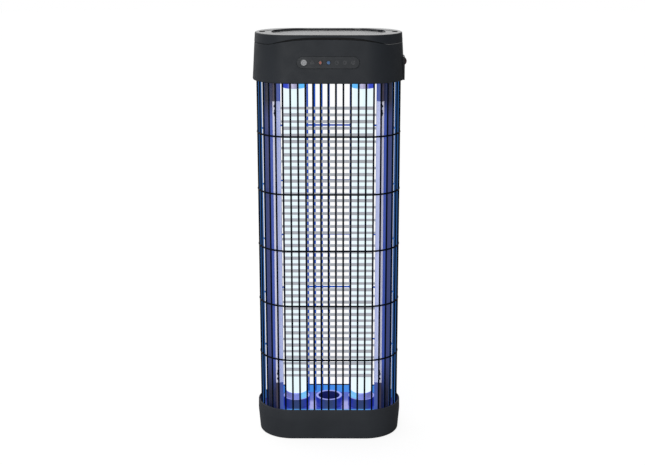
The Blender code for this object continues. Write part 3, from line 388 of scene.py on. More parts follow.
def crease_material():
    """Shadow line of the seam, with a thin lit edge near the right end."""
    g = Graph("crease_shadow")
    right = g.rise(g.axis("X"), 0.061, 0.066)
    lit = g.maths("MULTIPLY", right, g.fall(g.axis("Z"), TOP - 7.0 * MM, TOP - 6.0 * MM))
    grain = g.noise(500.0)
    dark = g.mix(grain, (0.003, 0.003, 0.004), (0.005, 0.005, 0.006))
    g.colour(g.mix(lit, dark, (0.16, 0.16, 0.17)))
    g.roughness(0.75)
    g.glow((0.10, 0.10, 0.10), g.maths("MULTIPLY", lit, 0.9))
    return g.mat


def bracket_material():
    """Dark blocks under and over the boards, with a painted glow: dim violet, blue as lamp light on the lamp side.
    """
    g = Graph("bracket_plastic")
    across = g.across()
    inner = g.fall(across, 0.0578, 0.0586)
    grain = g.noise(1200.0)
    g.colour(g.mix(grain, (0.045, 0.036, 0.040), (0.055, 0.044, 0.048)))
    g.roughness(0.4)
    g.bump(grain, 0.2)
    # Painted light: a dim violet glow, blue on the lamp side.
    g.glow(g.mix(inner, (0.030, 0.024, 0.040), (0.045, 0.085, 0.34)), 0.9)
    return g.mat


def rim_material():
    """Top edge of the base: the housing plastic in front, painted shade behind, near black and without sheen."""
    g = Graph("rim_plastic")
    rear = g.rise(g.axis("Y"), -0.012, 0.006)
    grain = g.spread(g.noise(200.0), 0.9, 1.1)
    front_colour = g.mix(grain, (0.030, 0.034, 0.045), (0.036, 0.040, 0.052))
    # Painted shade: the rear of the rim turns near black and loses its sheen.
    g.colour(g.mix(rear, front_colour, (0.002, 0.003, 0.018)))
    g.specular(g.spread(rear, 0.4, 0.0, 0.0, 1.0))
    g.roughness(0.6)
    return g.mat


def deck_material():
    """Deck and collars under the lamps: dark bluish moulding, coloured by a painted glow of blue lamp light,
    painted reflections and painted shade in the bores.
    """
    g = Graph("deck_plastic")
    geometry = g.add("ShaderNodeNewGeometry")
    split = g.add("ShaderNodeSeparateXYZ")
    g.set(split, "Vector", geometry.outputs["Normal"])
    up = g.rise(split.outputs["Z"], 0.45, 0.75)
    sideways = g.rise(g.maths("ABSOLUTE", split.outputs["X"]), 0.25, 0.8)
    height = g.axis("Z")
    along, deep = g.axis("X"), g.axis("Y")
    across = g.maths("ABSOLUTE", along)
    rim = g.rise(height, PLATE[1].z - 0.0016, PLATE[1].z - 0.0006)
    # Painted light: side walls bluer than the tops; the bores get painted shade.
    wall = g.mix(sideways, (0.026, 0.040, 0.120), (0.010, 0.022, 0.30))
    radial = g.maths("SQRT", g.maths("ADD", g.maths("MULTIPLY", along, along), g.maths("MULTIPLY", deep, deep)))
    bore = g.fall(radial, 0.0130, 0.0136)
    wall = g.mix(bore, wall, (0.004, 0.007, 0.075))
    # Painted reflections: lilac wedges between the collars and a cyan front edge; darker beyond the lamps.
    between = g.maths("ABSOLUTE", g.maths("SUBTRACT", across, 0.0197))
    wedge_reflection = g.fall(between, 0.0030, 0.0050)
    outside = g.rise(across, 0.054, 0.060)
    front_edge = g.fall(deep, -0.0168, -0.0150)
    wedge_reflection = g.maths("MULTIPLY", wedge_reflection, g.spread(deep, 1.0, 0.25, 0.006, 0.014))
    floor = g.mix(wedge_reflection, (0.030, 0.060, 0.42), (0.32, 0.33, 0.70))
    floor = g.mix(front_edge, floor, (0.10, 0.36, 0.75))
    floor = g.mix(outside, floor, (0.016, 0.018, 0.13))
    # Painted highlight on the collar tops.
    flat = g.mix(rim, floor, (0.27, 0.31, 0.80))
    shade = g.spread(g.noise(70.0), 0.86, 1.06)
    # The bluish base colour also stands for lamp light.
    g.colour((0.015, 0.018, 0.05))
    g.roughness(0.3)
    g.bump(g.noise(1300.0), 0.2)
    g.glow(g.mix(up, wall, flat), shade)
    return g.mat


def lens_material(name, node, colour, diamond):
    """Dark lens with a lit symbol in its middle: a diamond or a disc."""
    low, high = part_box(node)
    centre = (low + high) / 2.0
    g = Graph(name)
    along = g.maths("ABSOLUTE", g.maths("SUBTRACT", g.axis("X"), centre.x))
    up = g.maths("ABSOLUTE", g.maths("SUBTRACT", g.axis("Z"), centre.z))
    if diamond:
        reach = g.maths("ADD", g.maths("MULTIPLY", along, 1.35), up)
        edge = 0.0023
    else:
        squares = g.maths("ADD", g.maths("MULTIPLY", along, along), g.maths("MULTIPLY", up, up))
        reach = g.maths("SQRT", squares)
        edge = 0.0019
    lit = g.fall(reach, edge - 0.0003, edge)
    g.colour(g.mix(lit, (0.028, 0.031, 0.036), colour))
    g.roughness(g.spread(g.noise(400.0), 0.22, 0.32))
    g.glow(colour, g.maths("MULTIPLY", lit, 0.45))
    return g.mat


def rocker_material():
    """Rocker face: glossy dark red."""
    g = Graph("rocker_gloss")
    g.colour((0.075, 0.022, 0.028))
    g.roughness(g.spread(g.noise(300.0), 0.18, 0.26))
    return g.mat


def liner_material():
    """Inner wall of the base, with a bluish colour and a painted glow of blue lamp light: bright on the rear wall
    between the lamps, dim at the front and beyond the lamps.
    """
    g = Graph("base_liner")
    drift = g.spread(g.noise(25.0), 0.85, 1.05)
    # The bluish colour and the glow below both paint the lamps' light.
    g.colour((0.02, 0.04, 0.08))
    g.roughness(0.35)
    g.bump(g.noise(1200.0), 0.15)
    across = g.across()
    outside = g.rise(across, 0.055, 0.066)
    rear = g.rise(g.axis("Y"), 0.0, 0.02)
    bright = g.mix(outside, (0.060, 0.26, 0.76), (0.012, 0.018, 0.10))
    g.glow(g.mix(rear, (0.010, 0.014, 0.07), bright), drift)
    return g.mat


def circuit_material():
    """Green board with a maze of copper tracks under the solder resist."""
    g = Graph("circuit_board")
    cell = g.add("ShaderNodeTexVoronoi", feature="DISTANCE_TO_EDGE", distance="MANHATTAN")
    g.set(cell, "Vector", g.coords)
    g.set(cell, "Scale", 260.0)
    track = g.fall(cell.outputs["Distance"], 0.03, 0.08)
    g.colour(g.mix(track, (0.015, 0.11, 0.04), (0.04, 0.22, 0.07)))
    g.roughness(0.4)
    g.bump(track, 0.3, 0.00005)
    return g.mat


def make_materials():
    """Every finish, by the record's slot name, plus the extra ones of this script."""
    return {
        "housing": plastic("housing_plastic", (0.0265, 0.0305, 0.0365), 0.5, 1700.0, 0.3, 0.2),
        # The base takes a lighter copy of the housing plastic: painted light to make up for the weaker light that
        # reaches it.
        "housing_low": plastic("base_plastic_painted_light", (0.0385, 0.0430, 0.0500), 0.5, 1700.0, 0.3, 0.2),
        "rim": rim_material(),
        "lid": lid_material(),
        "crease": crease_material(),
        "bracket": bracket_material(),
        "guard": guard_material(),
        "column": column_material(),
        "chassis": deck_material(),
        "grid_metal": rod_material(),
        "board": board_material(),
        "steel": metal("zinc_steel", (0.42, 0.43, 0.45), 0.3, (1.0, 1.0, 0.05)),
        "handle": plastic("handle_coat", (0.012, 0.013, 0.015), 0.55, 900.0, 0.15, 0.12),
        "lamp_glass": lamp_material(),
        # Bottom and top caps differ only in their painted reflections.
        "lamp_metal": cap_material("bottom"),
        "lamp_metal_top": cap_material("top"),
        "holder": plastic("holder_plastic", (0.62, 0.62, 0.60), 0.4),
        "panel": plastic("panel_gloss", (0.0265, 0.0305, 0.036), 0.42, 900.0, 0.03, 0.25),
        "side": plastic("side_plastic", (0.008, 0.008, 0.010), 0.35, 1500.0, 0.2, 0.3),
        "silver": metal("button_silver", (0.36, 0.37, 0.38), 0.45, (1.0, 1.0, 0.05), 0.1, 0.3),
        "red_lens": lens_material("lens_red", "indicator_red", (0.22, 0.055, 0.035), True),
        "blue_lens": lens_material("lens_blue", "indicator_blue", (0.012, 0.075, 0.20), False),
        "circuit": circuit_material(),
        "potting": plastic("cast_resin", (0.014, 0.014, 0.016), 0.3, 500.0, 0.15),
        "copper": metal("wound_core", (0.48, 0.20, 0.08), 0.35, (0.05, 1.0, 1.0), 0.4),
        "rubber": plastic("foot_rubber", (0.014, 0.014, 0.014), 0.8, 2200.0, 0.5, 0.2),
        "cable": plastic("cable_sheath", (0.20, 0.20, 0.22), 0.5, 1500.0, 0.3),
        "switch": rocker_material(),
        "tray": plastic("tray_plastic", (0.018, 0.021, 0.025), 0.45, 1600.0, 0.3),
        "liner": liner_material(),
        "symbol": plastic("symbol_print", (0.075, 0.080, 0.088), 0.5, 1500.0, 0.1),
        "symbol_dark": plastic("symbol_engraving", (0.16, 0.16, 0.18), 0.4, 1500.0, 0.1),
    }


# ---------------------------------------------------------------- mesh helpers

def stadium(half, radius, z):
    """A level stadium ring from the front left, anticlockwise seen from above."""
    ring = []
    for i in range(STRAIGHT):
        ring.append(Vector((-half + 2.0 * half * i / STRAIGHT, -radius, z)))
    for i in range(ARC):
        angle = -math.pi / 2.0 + math.pi * i / ARC
        ring.append(Vector((half + radius * math.cos(angle), radius * math.sin(angle), z)))
    return ring + [Vector((-p.x, -p.y, z)) for p in ring]


def circle(radius, z, steps, centre=(0.0, 0.0)):
    """A level ring of points."""
    ring = []
    for i in range(steps):
        angle = math.tau * i / steps
        ring.append(Vector((centre[0] + radius * math.cos(angle), centre[1] + radius * math.sin(angle), z)))
    return ring


def skin(bm, rings, closed=False, bands=None):
    """Skins rings of equal length, with caps unless closed; bands give material indices."""
    loops = [[bm.verts.new(point) for point in ring] for ring in rings]
    pairs = list(zip(loops, loops[1:]))
    if closed:
        pairs.append((loops[-1], loops[0]))
    count = len(loops[0])
    for number, (low, high) in enumerate(pairs):
        for i in range(count):
            j = (i + 1) % count
            face = bm.faces.new((low[i], low[j], high[j], high[i]))
            face.material_index = bands[number] if bands else 0
    if not closed:
        bm.faces.new(loops[0]).material_index = bands[0] if bands else 0
        bm.faces.new(loops[-1]).material_index = bands[-1] if bands else 0


def to_object(name, bm, mats, angle=40.0):
    """Makes a smooth-shaded object from a bmesh."""
    bmesh.ops.recalc_face_normals(bm, faces=bm.faces)
    mesh = bpy.data.meshes.new(name)
    bm.to_mesh(mesh)
    bm.free()
    for mat in mats:
        mesh.materials.append(mat)
    mesh.shade_smooth()
    mesh.set_sharp_from_angle(angle=math.radians(angle))
    obj = bpy.data.objects.new(name, mesh)
    scene.collection.objects.link(obj)
    return obj


def loft(name, rings, mats, closed=False, bands=None):
    """An object skinned over rings."""
    bm = bmesh.new()
    skin(bm, rings, closed, bands)
    return to_object(name, bm, mats)


def carve(obj, cutter, operation="DIFFERENCE"):
    """Applies a Boolean at once and removes the cutter."""
    modifier = obj.modifiers.new("carve", "BOOLEAN")
    modifier.operation = operation
    modifier.solver = "EXACT"
    modifier.object = cutter
    if cutter.data.materials:
        modifier.material_mode = "TRANSFER"
    graph = bpy.context.evaluated_depsgraph_get()
    mesh = bpy.data.meshes.new_from_object(obj.evaluated_get(graph))
    obj.modifiers.clear()
    obj.data = mesh
    bpy.data.objects.remove(cutter)
    mesh.shade_smooth()
    mesh.set_sharp_from_angle(angle=math.radians(35.0))
    return obj


def cylinders(name, specs, steps=32):
    """Separate cylinders as one object: (centre, axis, radius, low, high) each."""
    bm = bmesh.new()
    for centre, axis, radius, low, high in specs:
        turn = Matrix.Identity(4)
        if axis == "X":
            turn = Matrix.Rotation(math.pi / 2.0, 4, "Y")
        if axis == "Y":
            turn = Matrix.Rotation(-math.pi / 2.0, 4, "X")
        matrix = Matrix.Translation(centre) @ turn
        skin(bm, [[matrix @ p for p in circle(radius, z, steps)] for z in (low, high)])
    return to_object(name, bm, [])


def boxes(name, corners):
    """Separate boxes as one object."""
    bm = bmesh.new()
    for low, high in corners:
        rings = []
        for z in (low[2], high[2]):
            plan = ((low[0], low[1]), (high[0], low[1]), (high[0], high[1]), (low[0], high[1]))
            rings.append([Vector((x, y, z)) for x, y in plan])
        skin(bm, rings)
    return to_object(name, bm, [])


def turned(name, profile, centre, mats, steps=48, bands=None, closed=False):
    """A solid turned about +Z from (radius, z) pairs in place."""
    rings = [circle(radius, z, steps, (centre[0], centre[1])) for radius, z in profile]
    return loft(name, rings, mats, closed, bands)


def tube(bm, path, radius, sides=12, closed=False, normal=Vector((0.0, 0.0, 1.0)), tip=0.0):
    """Sweeps a circle along a path that stays square to the normal or runs straight."""
    rings = []
    count = len(path)
    for i, point in enumerate(path):
        before = point - path[i - 1] if closed or i > 0 else Vector()
        after = path[(i + 1) % count] - point if closed or i < count - 1 else Vector()
        along = (before.normalized() + after.normalized()).normalized()
        side = along.cross(normal).normalized()
        up = side.cross(along)
        shrink = 1.0
        if tip and not closed and i in (0, count - 1):
            shrink = tip
        ring = []
        for k in range(sides):
            angle = math.tau * k / sides
            ring.append(point + (side * math.cos(angle) + up * math.sin(angle)) * radius * shrink)
        rings.append(ring)
    skin(bm, rings, closed)


def weigh(obj):
    """Keeps large flats flat next to small rounded edges."""
    modifier = obj.modifiers.new("weighted", "WEIGHTED_NORMAL")
    modifier.keep_sharp = True
    return obj


def stand_for(obj, body, slot, *nodes):
    """The piece rides on a body and stands for CAD nodes, which it hides; the slot is not used."""
    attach(obj, body)
    if nodes:
        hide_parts(*nodes)
    return obj


def sides():
    return (("left", -1.0), ("right", 1.0))


# ---------------------------------------------------------------- shells

def base_radius(z):
    """Outer plan radius of the base at a height."""
    if z < BASE_WIDE_Z:
        return BASE_R - BASE_TAPER * (1.0 - z / BASE_WIDE_Z)
    return BASE_R + (BASE_RIM_R - BASE_R) * (z - BASE_WIDE_Z) / (BASE[1].z - BASE_WIDE_Z)


def head_radius(z):
    """Outer plan radius of the head at a height."""
    share = (z - HEAD[0].z) / (TOP - HEAD[0].z)
    return HEAD_R - HEAD_TAPER * share


def seam_lift(point):
    """Share of the arch over the front: 0 at the sides and back, 1 at the centre."""
    if point.y > 0.0 or abs(point.x) > SEAM_HALF:
        return 0.0
    return 1.0 - (abs(point.x) / SEAM_HALF) ** 3


def seam_ring(radius, offset, front_extra=0.0):
    """A stadium ring along the arched seam."""
    ring = stadium(HALF, radius, 0.0)
    for point in ring:
        lift = seam_lift(point)
        point.z = SEAM_Z + SEAM_RISE * lift + offset + front_extra * lift ** 2
    return ring


def rounded(corner_r, corner_z, radius, start, end, steps=5):
    """Points (r, z) of an arc round an edge, by angle in degrees from +r towards +z."""
    points = []
    for i in range(steps + 1):
        angle = math.radians(start + (end - start) * i / steps)
        points.append((corner_r + radius * math.cos(angle), corner_z + radius * math.sin(angle)))
    return points


def make_base(mats):
    """Base tub with rounded foot and rim, drawer doorway, bolt wells and pad pockets."""
    rim_z = BASE[1].z
    floor_z = 3.0 * MM
    foot_r = 2.2 * MM
    rim = 0.8 * MM
    profile = rounded(base_radius(foot_r) - foot_r, foot_r, foot_r, -90.0, -4.0, 6)
    profile += [(base_radius(6.0 * MM), 6.0 * MM), (base_radius(24.0 * MM), 24.0 * MM)]
    profile += [(BASE_R - 0.02 * MM, 27.0 * MM)]
    profile += rounded(BASE_RIM_R - rim - 0.02 * MM, rim_z - rim, rim, 4.0, 90.0, 4)
    rim_start = len(profile) - 3
    inner = BASE_RIM_R - SHELL
    profile += rounded(inner + rim, rim_z - rim, rim, 90.0, 176.0, 4)
    rim_end = len(profile) - 1
    profile += [(base_radius(25.0 * MM) - SHELL, 25.0 * MM), (base_radius(floor_z) - SHELL, floor_z)]
    rings = [stadium(HALF, r, z) for r, z in profile]
    bands = [0] * (len(rings) - 1)
    for k in range(len(bands)):
        if k >= rim_start:
            bands[k] = 2
        if k >= rim_end:
            bands[k] = 1
    base = loft("base_shell", rings, [mats["housing_low"], mats["liner"], mats["rim"]], False, bands)
    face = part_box("collection_drawer")
    gap = 0.3 * MM
    low = (face[0].x - gap, 30.0 * MM, floor_z)
    carve(base, boxes("doorway", [(low, (face[1].x + gap, 60.0 * MM, face[1].z + 0.6 * MM))]))
    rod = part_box("tie_rod_right")
    rod_x = (rod[0].x + rod[1].x) / 2.0
    posts = [((s * rod_x, 0.0, 0.0), "Z", 5.5 * MM, floor_z - MM, PLATE[0].z - gap) for _, s in sides()]
    carve(base, cylinders("posts", posts), "UNION")
    wells = [((s * rod_x, 0.0, 0.0), "Z", 3.8 * MM, -MM, 3.0 * MM) for _, s in sides()]
    carve(base, cylinders("wells", wells))
    bores = [((s * rod_x, 0.0, 0.0), "Z", 1.9 * MM, -MM, 30.0 * MM) for _, s in sides()]
    carve(base, cylinders("bores", bores, 20))
    pockets = []
    for node in ("foot_front_left", "foot_front_right", "foot_rear_left", "foot_rear_right"):
        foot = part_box(node)
        centre = (foot[0] + foot[1]) / 2.0
        pockets.append(((centre.x, centre.y, 0.0), "Z", 5.3 * MM, -MM, foot[1].z + gap))
    carve(base, cylinders("pockets", pockets, 28))
    return stand_for(weigh(base), "frame", "housing", "base_housing")


def make_head(mats):
    """Head shell with a rounded lower edge, up to the seam."""
    low = HEAD[0].z
    edge = 1.6 * MM
    thin = SHELL
    profile = [(HEAD_R - thin, low + 6.0 * MM), (HEAD_R - thin, low + 0.4 * MM)]
    profile += rounded(HEAD_R - edge, low + edge, edge, -86.0, -3.0, 6)
    profile += [(head_radius(low + 4.0 * MM), low + 4.0 * MM), (head_radius(0.450), 0.450)]
    rings = [stadium(HALF, r, z) for r, z in profile]
    top_r = head_radius(SEAM_Z)
    for drop in (3.0 * MM, 1.2 * MM):
        rings.append(seam_ring(top_r + 0.0585 * drop, -drop))
    bevel = 0.5 * MM
    for r, z in rounded(top_r - bevel, -SEAM_GAP - bevel + 0.2 * MM, bevel, 10.0, 90.0, 4):
        rings.append(seam_ring(r, z))
    rings.append(seam_ring(top_r - thin, -SEAM_GAP + 0.2 * MM))
    bands = [0] * len(rings)
    # The faces inside the seam gap take the painted seam shadow.
    for k in (-2, -1):
        bands[k] = 1
    head = loft("head_housing", rings, [mats["housing"], mats["crease"]], True, bands)
    gap = 0.2 * MM
    carve(head, panel_solid("panel_hole", gap, 6.0 * MM, 8.0 * MM, []))
    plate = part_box("side_switch_plate")
    low_corner = (plate[0].x - 8.0 * MM, plate[0].y - gap, plate[0].z - gap)
    high_corner = (plate[1].x + 5.0 * MM, plate[1].y + gap, plate[1].z + gap)
    carve(head, boxes("side_hole", [(low_corner, high_corner)]))
    bosses = []
    bores = []
    for _, sx in sides():
        for sy in (-1.0, 1.0):
            x = sx * 22.0 * MM
            near, far = sorted((sy * 32.6 * MM, sy * 41.0 * MM))
            bosses.append(((x - 3.4 * MM, near, 0.4338), (x + 3.4 * MM, far, 0.4458)))
            bores.append(((x, sy * 36.0 * MM, 0.0), "Z", 1.3 * MM, 0.4330, 0.4428))
    carve(head, boxes("bosses", bosses), "UNION")
    carve(head, cylinders("boss_bores", bores, 16))
    return stand_for(weigh(head), "frame", "housing", "head_shell")


def handle_path(steps=14, corner=4):
    """Centre line of the folded handle from the left pivot to the right, level."""
    low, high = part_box("carry_handle")
    level = (low.z + high.z) / 2.0
    knee_x, knee_y = 74.2 * MM, 5.0 * MM
    arc_x, arc_r = 28.0 * MM, 34.2 * MM
    reach = math.hypot(knee_x - arc_x, knee_y)
    tangent = math.atan2(knee_y, knee_x - arc_x) + math.acos(arc_r / reach)
    right = []
    for i in range(steps + 1):
        angle = math.pi / 2.0 + (tangent - math.pi / 2.0) * i / steps
        right.append(Vector((arc_x + arc_r * math.cos(angle), arc_r * math.sin(angle), level)))
    knee = Vector((knee_x, knee_y, level))
    pivot = Vector((PIVOT_X, 0.0, level))
    for i in range(corner + 1):
        t = i / corner
        start = knee + (right[steps] - knee).normalized() * 2.5 * MM
        end = knee + (pivot - knee).normalized() * 2.5 * MM
        right.append(start * (1 - t) ** 2 + knee * 2 * t * (1 - t) + end * t ** 2)
    right.append(pivot)
    left = [Vector((-p.x, p.y, p.z)) for p in reversed(right)]
    return left + right


def make_cover(mats):
    """Lid with a rounded rim, a shallow recess, pivot pockets and the handle groove."""
    seam_r = head_radius(SEAM_Z)
    edge = 1.3 * MM
    recess_half, recess_r, recess_z = 28.0 * MM, 36.5 * MM, TOP - 1.8 * MM
    rings = [stadium(recess_half, recess_r - 0.5 * MM, recess_z)]
    rings.append(stadium(recess_half, recess_r - 0.15 * MM, recess_z + 0.15 * MM))
    rings.append(stadium(recess_half, recess_r, recess_z + 0.5 * MM))
    rings.append(stadium(recess_half, recess_r + 0.1 * MM, TOP - 0.3 * MM))
    rings.append(stadium(recess_half, recess_r + 0.4 * MM, TOP))
    rim_r = head_radius(TOP)
    for r, z in rounded(rim_r - edge, TOP - edge, edge, 90.0, 4.0, 6):
        rings.append(stadium(HALF, r, z))
    bevel = 0.4 * MM
    above = SEAM_GAP * 0.2
    rings.append(seam_ring(seam_r - 0.10 * MM, above + 1.6 * MM, 0.6 * SEAM_FRONT_GAP))
    for r, z in rounded(seam_r - bevel, above + bevel, bevel, -6.0, -90.0, 4):
        rings.append(seam_ring(r, z, SEAM_FRONT_GAP))
    lip_r = seam_r - SHELL - 0.3 * MM
    rings.append(seam_ring(lip_r, above, SEAM_FRONT_GAP))
    rings.append(seam_ring(lip_r, -2.4 * MM))
    rings.append(seam_ring(lip_r - 1.5 * MM, -2.4 * MM))
    rings.append(stadium(HALF, lip_r - 1.5 * MM, TOP - 5.4 * MM))
    # The underside of the seam edge and the lip below it take the painted seam shadow; the top takes the lid
    # plastic.
    bands = [2] * 6 + [0] * (len(rings) - 11) + [1] * 4
    finishes = [mats["housing"], mats["crease"], mats["lid"]]
    cover = loft("head_cover", rings, finishes, False, bands)
    path = handle_path()
    bm = bmesh.new()
    width = 1.75 * MM
    sections = []
    for i, point in enumerate(path):
        before = (point - path[max(i - 1, 0)]).normalized()
        after = (path[min(i + 1, len(path) - 1)] - point).normalized()
        along = (before + after).normalized()
        side = Vector((along.y, -along.x, 0.0))
        low = Vector((0.0, 0.0, -1.7 * MM))
        high = Vector((0.0, 0.0, 5.0 * MM))
        sections.append([point - side * width + low, point + side * width + low,
                         point + side * width + high, point - side * width + high])
    skin(bm, sections)
    carve(cover, to_object("groove", bm, []))
    level = path[0].z
    bm = bmesh.new()
    for _, s in sides():
        rings = []
        for z in (TOP - 4.2 * MM, TOP + MM):
            outline = stadium(3.0 * MM, 3.2 * MM, z)
            rings.append([Vector((s * PIVOT_X - p.y, p.x, z)) for p in outline])
        skin(bm, rings)
    # The pocket walls take the seam shadow finish: painted shade inside the pockets.
    carve(cover, to_object("pockets", bm, [mats["crease"]]))
    bores = []
    for _, s in sides():
        near, far = sorted((s * PIVOT_X, s * 80.6 * MM))
        bores.append(((0.0, 0.0, level), "X", 1.7 * MM, near, far))
    carve(cover, cylinders("bores", bores, 24))
    return stand_for(weigh(cover), "frame", "housing", "top_cover")


def make_handle(mats):
    """Round bail with smooth bends and pivot tips, folded into its groove."""
    path = handle_path()
    tip_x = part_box("carry_handle")[1].x
    level = path[0].z
    bend = 1.3 * MM
    left_tip = [Vector((-tip_x, 0.0, level)), Vector((-tip_x + 0.4 * MM, 0.0, level))]
    left_tip.append(Vector((-PIVOT_X - bend, 0.0, level)))
    start = Vector((-PIVOT_X - bend * 0.3, bend * 0.3, level))
    inner = [start] + [p for p in path[1:-1]]
    end = Vector((-start.x, start.y, level))
    right_tip = [Vector((-p.x, p.y, p.z)) for p in reversed(left_tip)]
    bm = bmesh.new()
    tube(bm, left_tip + inner + [end] + right_tip, 1.4 * MM, 20, tip=0.75)
    handle = to_object("handle_bail", bm, [mats["handle"]])
    return stand_for(handle, "handle", "steel", "carry_handle")


# ---------------------------------------------------------------- guard

def guard_places(line_r):
    """Feet of the upright wires: an even pitch on the straights, spread round the bends.

    The rear wires round the left bend are shifted a little, to open a light gap there."""
    quarter_run = HALF + line_r * math.pi / 2.0
    steps = WIRE_COUNT // 4
    straight_steps = int(HALF / WIRE_PITCH)
    runs = [WIRE_PITCH * k for k in range(straight_steps + 1)]
    left = quarter_run - runs[-1]
    bend_steps = steps - straight_steps
    runs += [runs[straight_steps] + left * (k + 1) / bend_steps for k in range(bend_steps)]
    quarter = []
    for run in runs:
        if run < HALF:
            quarter.append((run, -line_r))
        else:
            angle = (run - HALF) / line_r
            quarter.append((HALF + line_r * math.sin(angle), -line_r * math.cos(angle)))
    places = [Vector((x, y, 0.0)) for x, y in quarter]
    places += [Vector((x, -y, 0.0)) for x, y in reversed(quarter[:-1])]
    for k, run in enumerate(runs[1:], 1):
        x, y = quarter[k]
        if run > HALF:
            drift = 2.8 * MM * math.sin(math.pi * (k - straight_steps) / bend_steps)
            angle = (run + drift - HALF) / line_r
            x, y = HALF + line_r * math.sin(angle), -line_r * math.cos(angle)
        places.append(Vector((-x, -y, 0.0)))
    places += [Vector((-x, y, 0.0)) for x, y in reversed(quarter[1:-1])]
    return places


def make_guard(mats):
    """Round upright wires and five hoops welded round them."""
    bm = bmesh.new()
    low, high = CAGE[0].z, CAGE[1].z
    for place in guard_places(WIRE_LINE_R):
        heights = [low, low + 0.4 * MM, high - 0.4 * MM, high]
        radii = [WIRE_R * 0.7, WIRE_R, WIRE_R, WIRE_R * 0.7]
        rings = [circle(r, z, 14, (place.x, place.y)) for r, z in zip(radii, heights)]
        skin(bm, rings)
    wires = to_object("guard_wires", bm, [mats["guard"]])
    stand_for(wires, "frame", "guard", "outer_cage")
    bm = bmesh.new()
    hoop_line = CAGE[1].y - HOOP_R - 0.02 * MM
    for z in HOOP_Z:
        tube(bm, stadium(HALF, hoop_line, z), HOOP_R, 12, True)
    hoops = to_object("guard_hoops", bm, [mats["guard"]])
    stand_for(hoops, "frame", "guard", "outer_cage")


# ---------------------------------------------------------------- lamps and grid

def make_lamps(mats):
    """Tubes with drawn-in ends and ribbed metal caps with two pins each."""
    low, high = LAMP[0].z, LAMP[1].z
    radius = (LAMP[1].x - LAMP[0].x) / 2.0
    for label, side in sides():
        centre = (side * abs(LAMP_X), 0.0)
        profile = [(radius * 0.90, low), (radius * 0.965, low + 0.6 * MM), (radius, low + 2.0 * MM)]
        middle = [low + (high - low) * i / 8.0 for i in range(1, 8)]
        profile += [(radius, z) for z in middle]
        profile += [(radius, high - 2.0 * MM), (radius * 0.965, high - 0.6 * MM), (radius * 0.90, high)]
        bore = radius - 0.9 * MM
        profile += [(bore, high - 0.3 * MM), (bore, low + 0.3 * MM)]
        glass = turned(f"lamp_glass_{label}", profile, centre, [mats["lamp_glass"]], 56, closed=True)
        stand_for(glass, f"lamp_{label}", "lamp_glass", f"lamp_tube_{label}")
        for level in ("bottom", "top"):
            make_cap(mats, label, level, centre)


def make_cap(mats, label, level, centre):
    """Metal cap: rolled edge, crimp groove, flat face and two pins."""
    node = f"lamp_cap_{level}_{label}"
    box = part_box(node)
    radius = (box[1].x - box[0].x) / 2.0
    pin_l = 6.5 * MM
    if level == "bottom":
        face, mouth, sign = box[0].z + pin_l, box[1].z, 1.0
    else:
        face, mouth, sign = box[1].z - pin_l, box[0].z, -1.0
    height = abs(mouth - face)
    shape = ((0.86, 0.0), (0.95, 0.25), (0.99, 0.9), (1.0, 1.8), (1.0, height / MM - 4.2),
             (0.975, height / MM - 3.9), (0.975, height / MM - 3.2), (1.0, height / MM - 2.9),
             (1.0, height / MM - 0.5), (0.985, height / MM - 0.1), (0.95, height / MM))
    profile = [(radius * r, face + sign * h * MM) for r, h in shape]
    finish = mats["lamp_metal_top"] if level == "top" else mats["lamp_metal"]
    cap = turned(f"cap_{level}_{label}", profile, centre, [finish], 56)
    pins = []
    for s in (-1.0, 1.0):
        near, far = sorted((face - sign * pin_l, face + sign * 2.0 * MM))
        pins.append(((centre[0], s * 6.35 * MM, 0.0), "Z", 1.2 * MM, near, far))
    carve(cap, cylinders("pins", pins, 20), "UNION")
    stand_for(weigh(cap), f"lamp_{label}", "lamp_metal", node)


def make_grid(mats):
    """Round rods on two bus bars, every second rod on the same bar."""
    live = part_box("hv_electrode_live")
    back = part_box("hv_electrode_return")
    y = (live[0].y + live[1].y) / 2.0
    low = live[0].z + ROD_R
    pitch = (live[1].z - live[0].z - 2.0 * ROD_R) / (GRID_COUNT - 1)
    for name, box, side, first in (("live", live, -1.0, 0), ("return", back, 1.0, 1)):
        bm = bmesh.new()
        bus_x = side * (abs(box[0].x if side < 0 else box[1].x) - 1.0 * MM)
        end_x = box[1].x if side < 0 else box[0].x
        for index in range(first, GRID_COUNT, 2):
            z = low + pitch * index
            path = [Vector((bus_x, y, z))]
            path.append(Vector((end_x + side * 0.6 * MM, y, z)))
            path.append(Vector((end_x, y, z)))
            tube(bm, path, ROD_R - 0.01 * MM, 16, normal=Vector((0.0, 1.0, 0.0)), tip=0.7)
        rods = to_object(f"grid_rods_{name}", bm, [mats["grid_metal"]])
        bar = [Vector((bus_x, y, box[0].z)), Vector((bus_x, y, box[1].z))]
        bm = bmesh.new()
        tube(bm, bar, 1.0 * MM, 16, normal=Vector((0.0, 1.0, 0.0)))
        bus = to_object(f"grid_bus_{name}", bm, [mats["grid_metal"]])
        bus.parent = rods
        stand_for(rods, "frame", "grid_metal", f"hv_electrode_{name}")


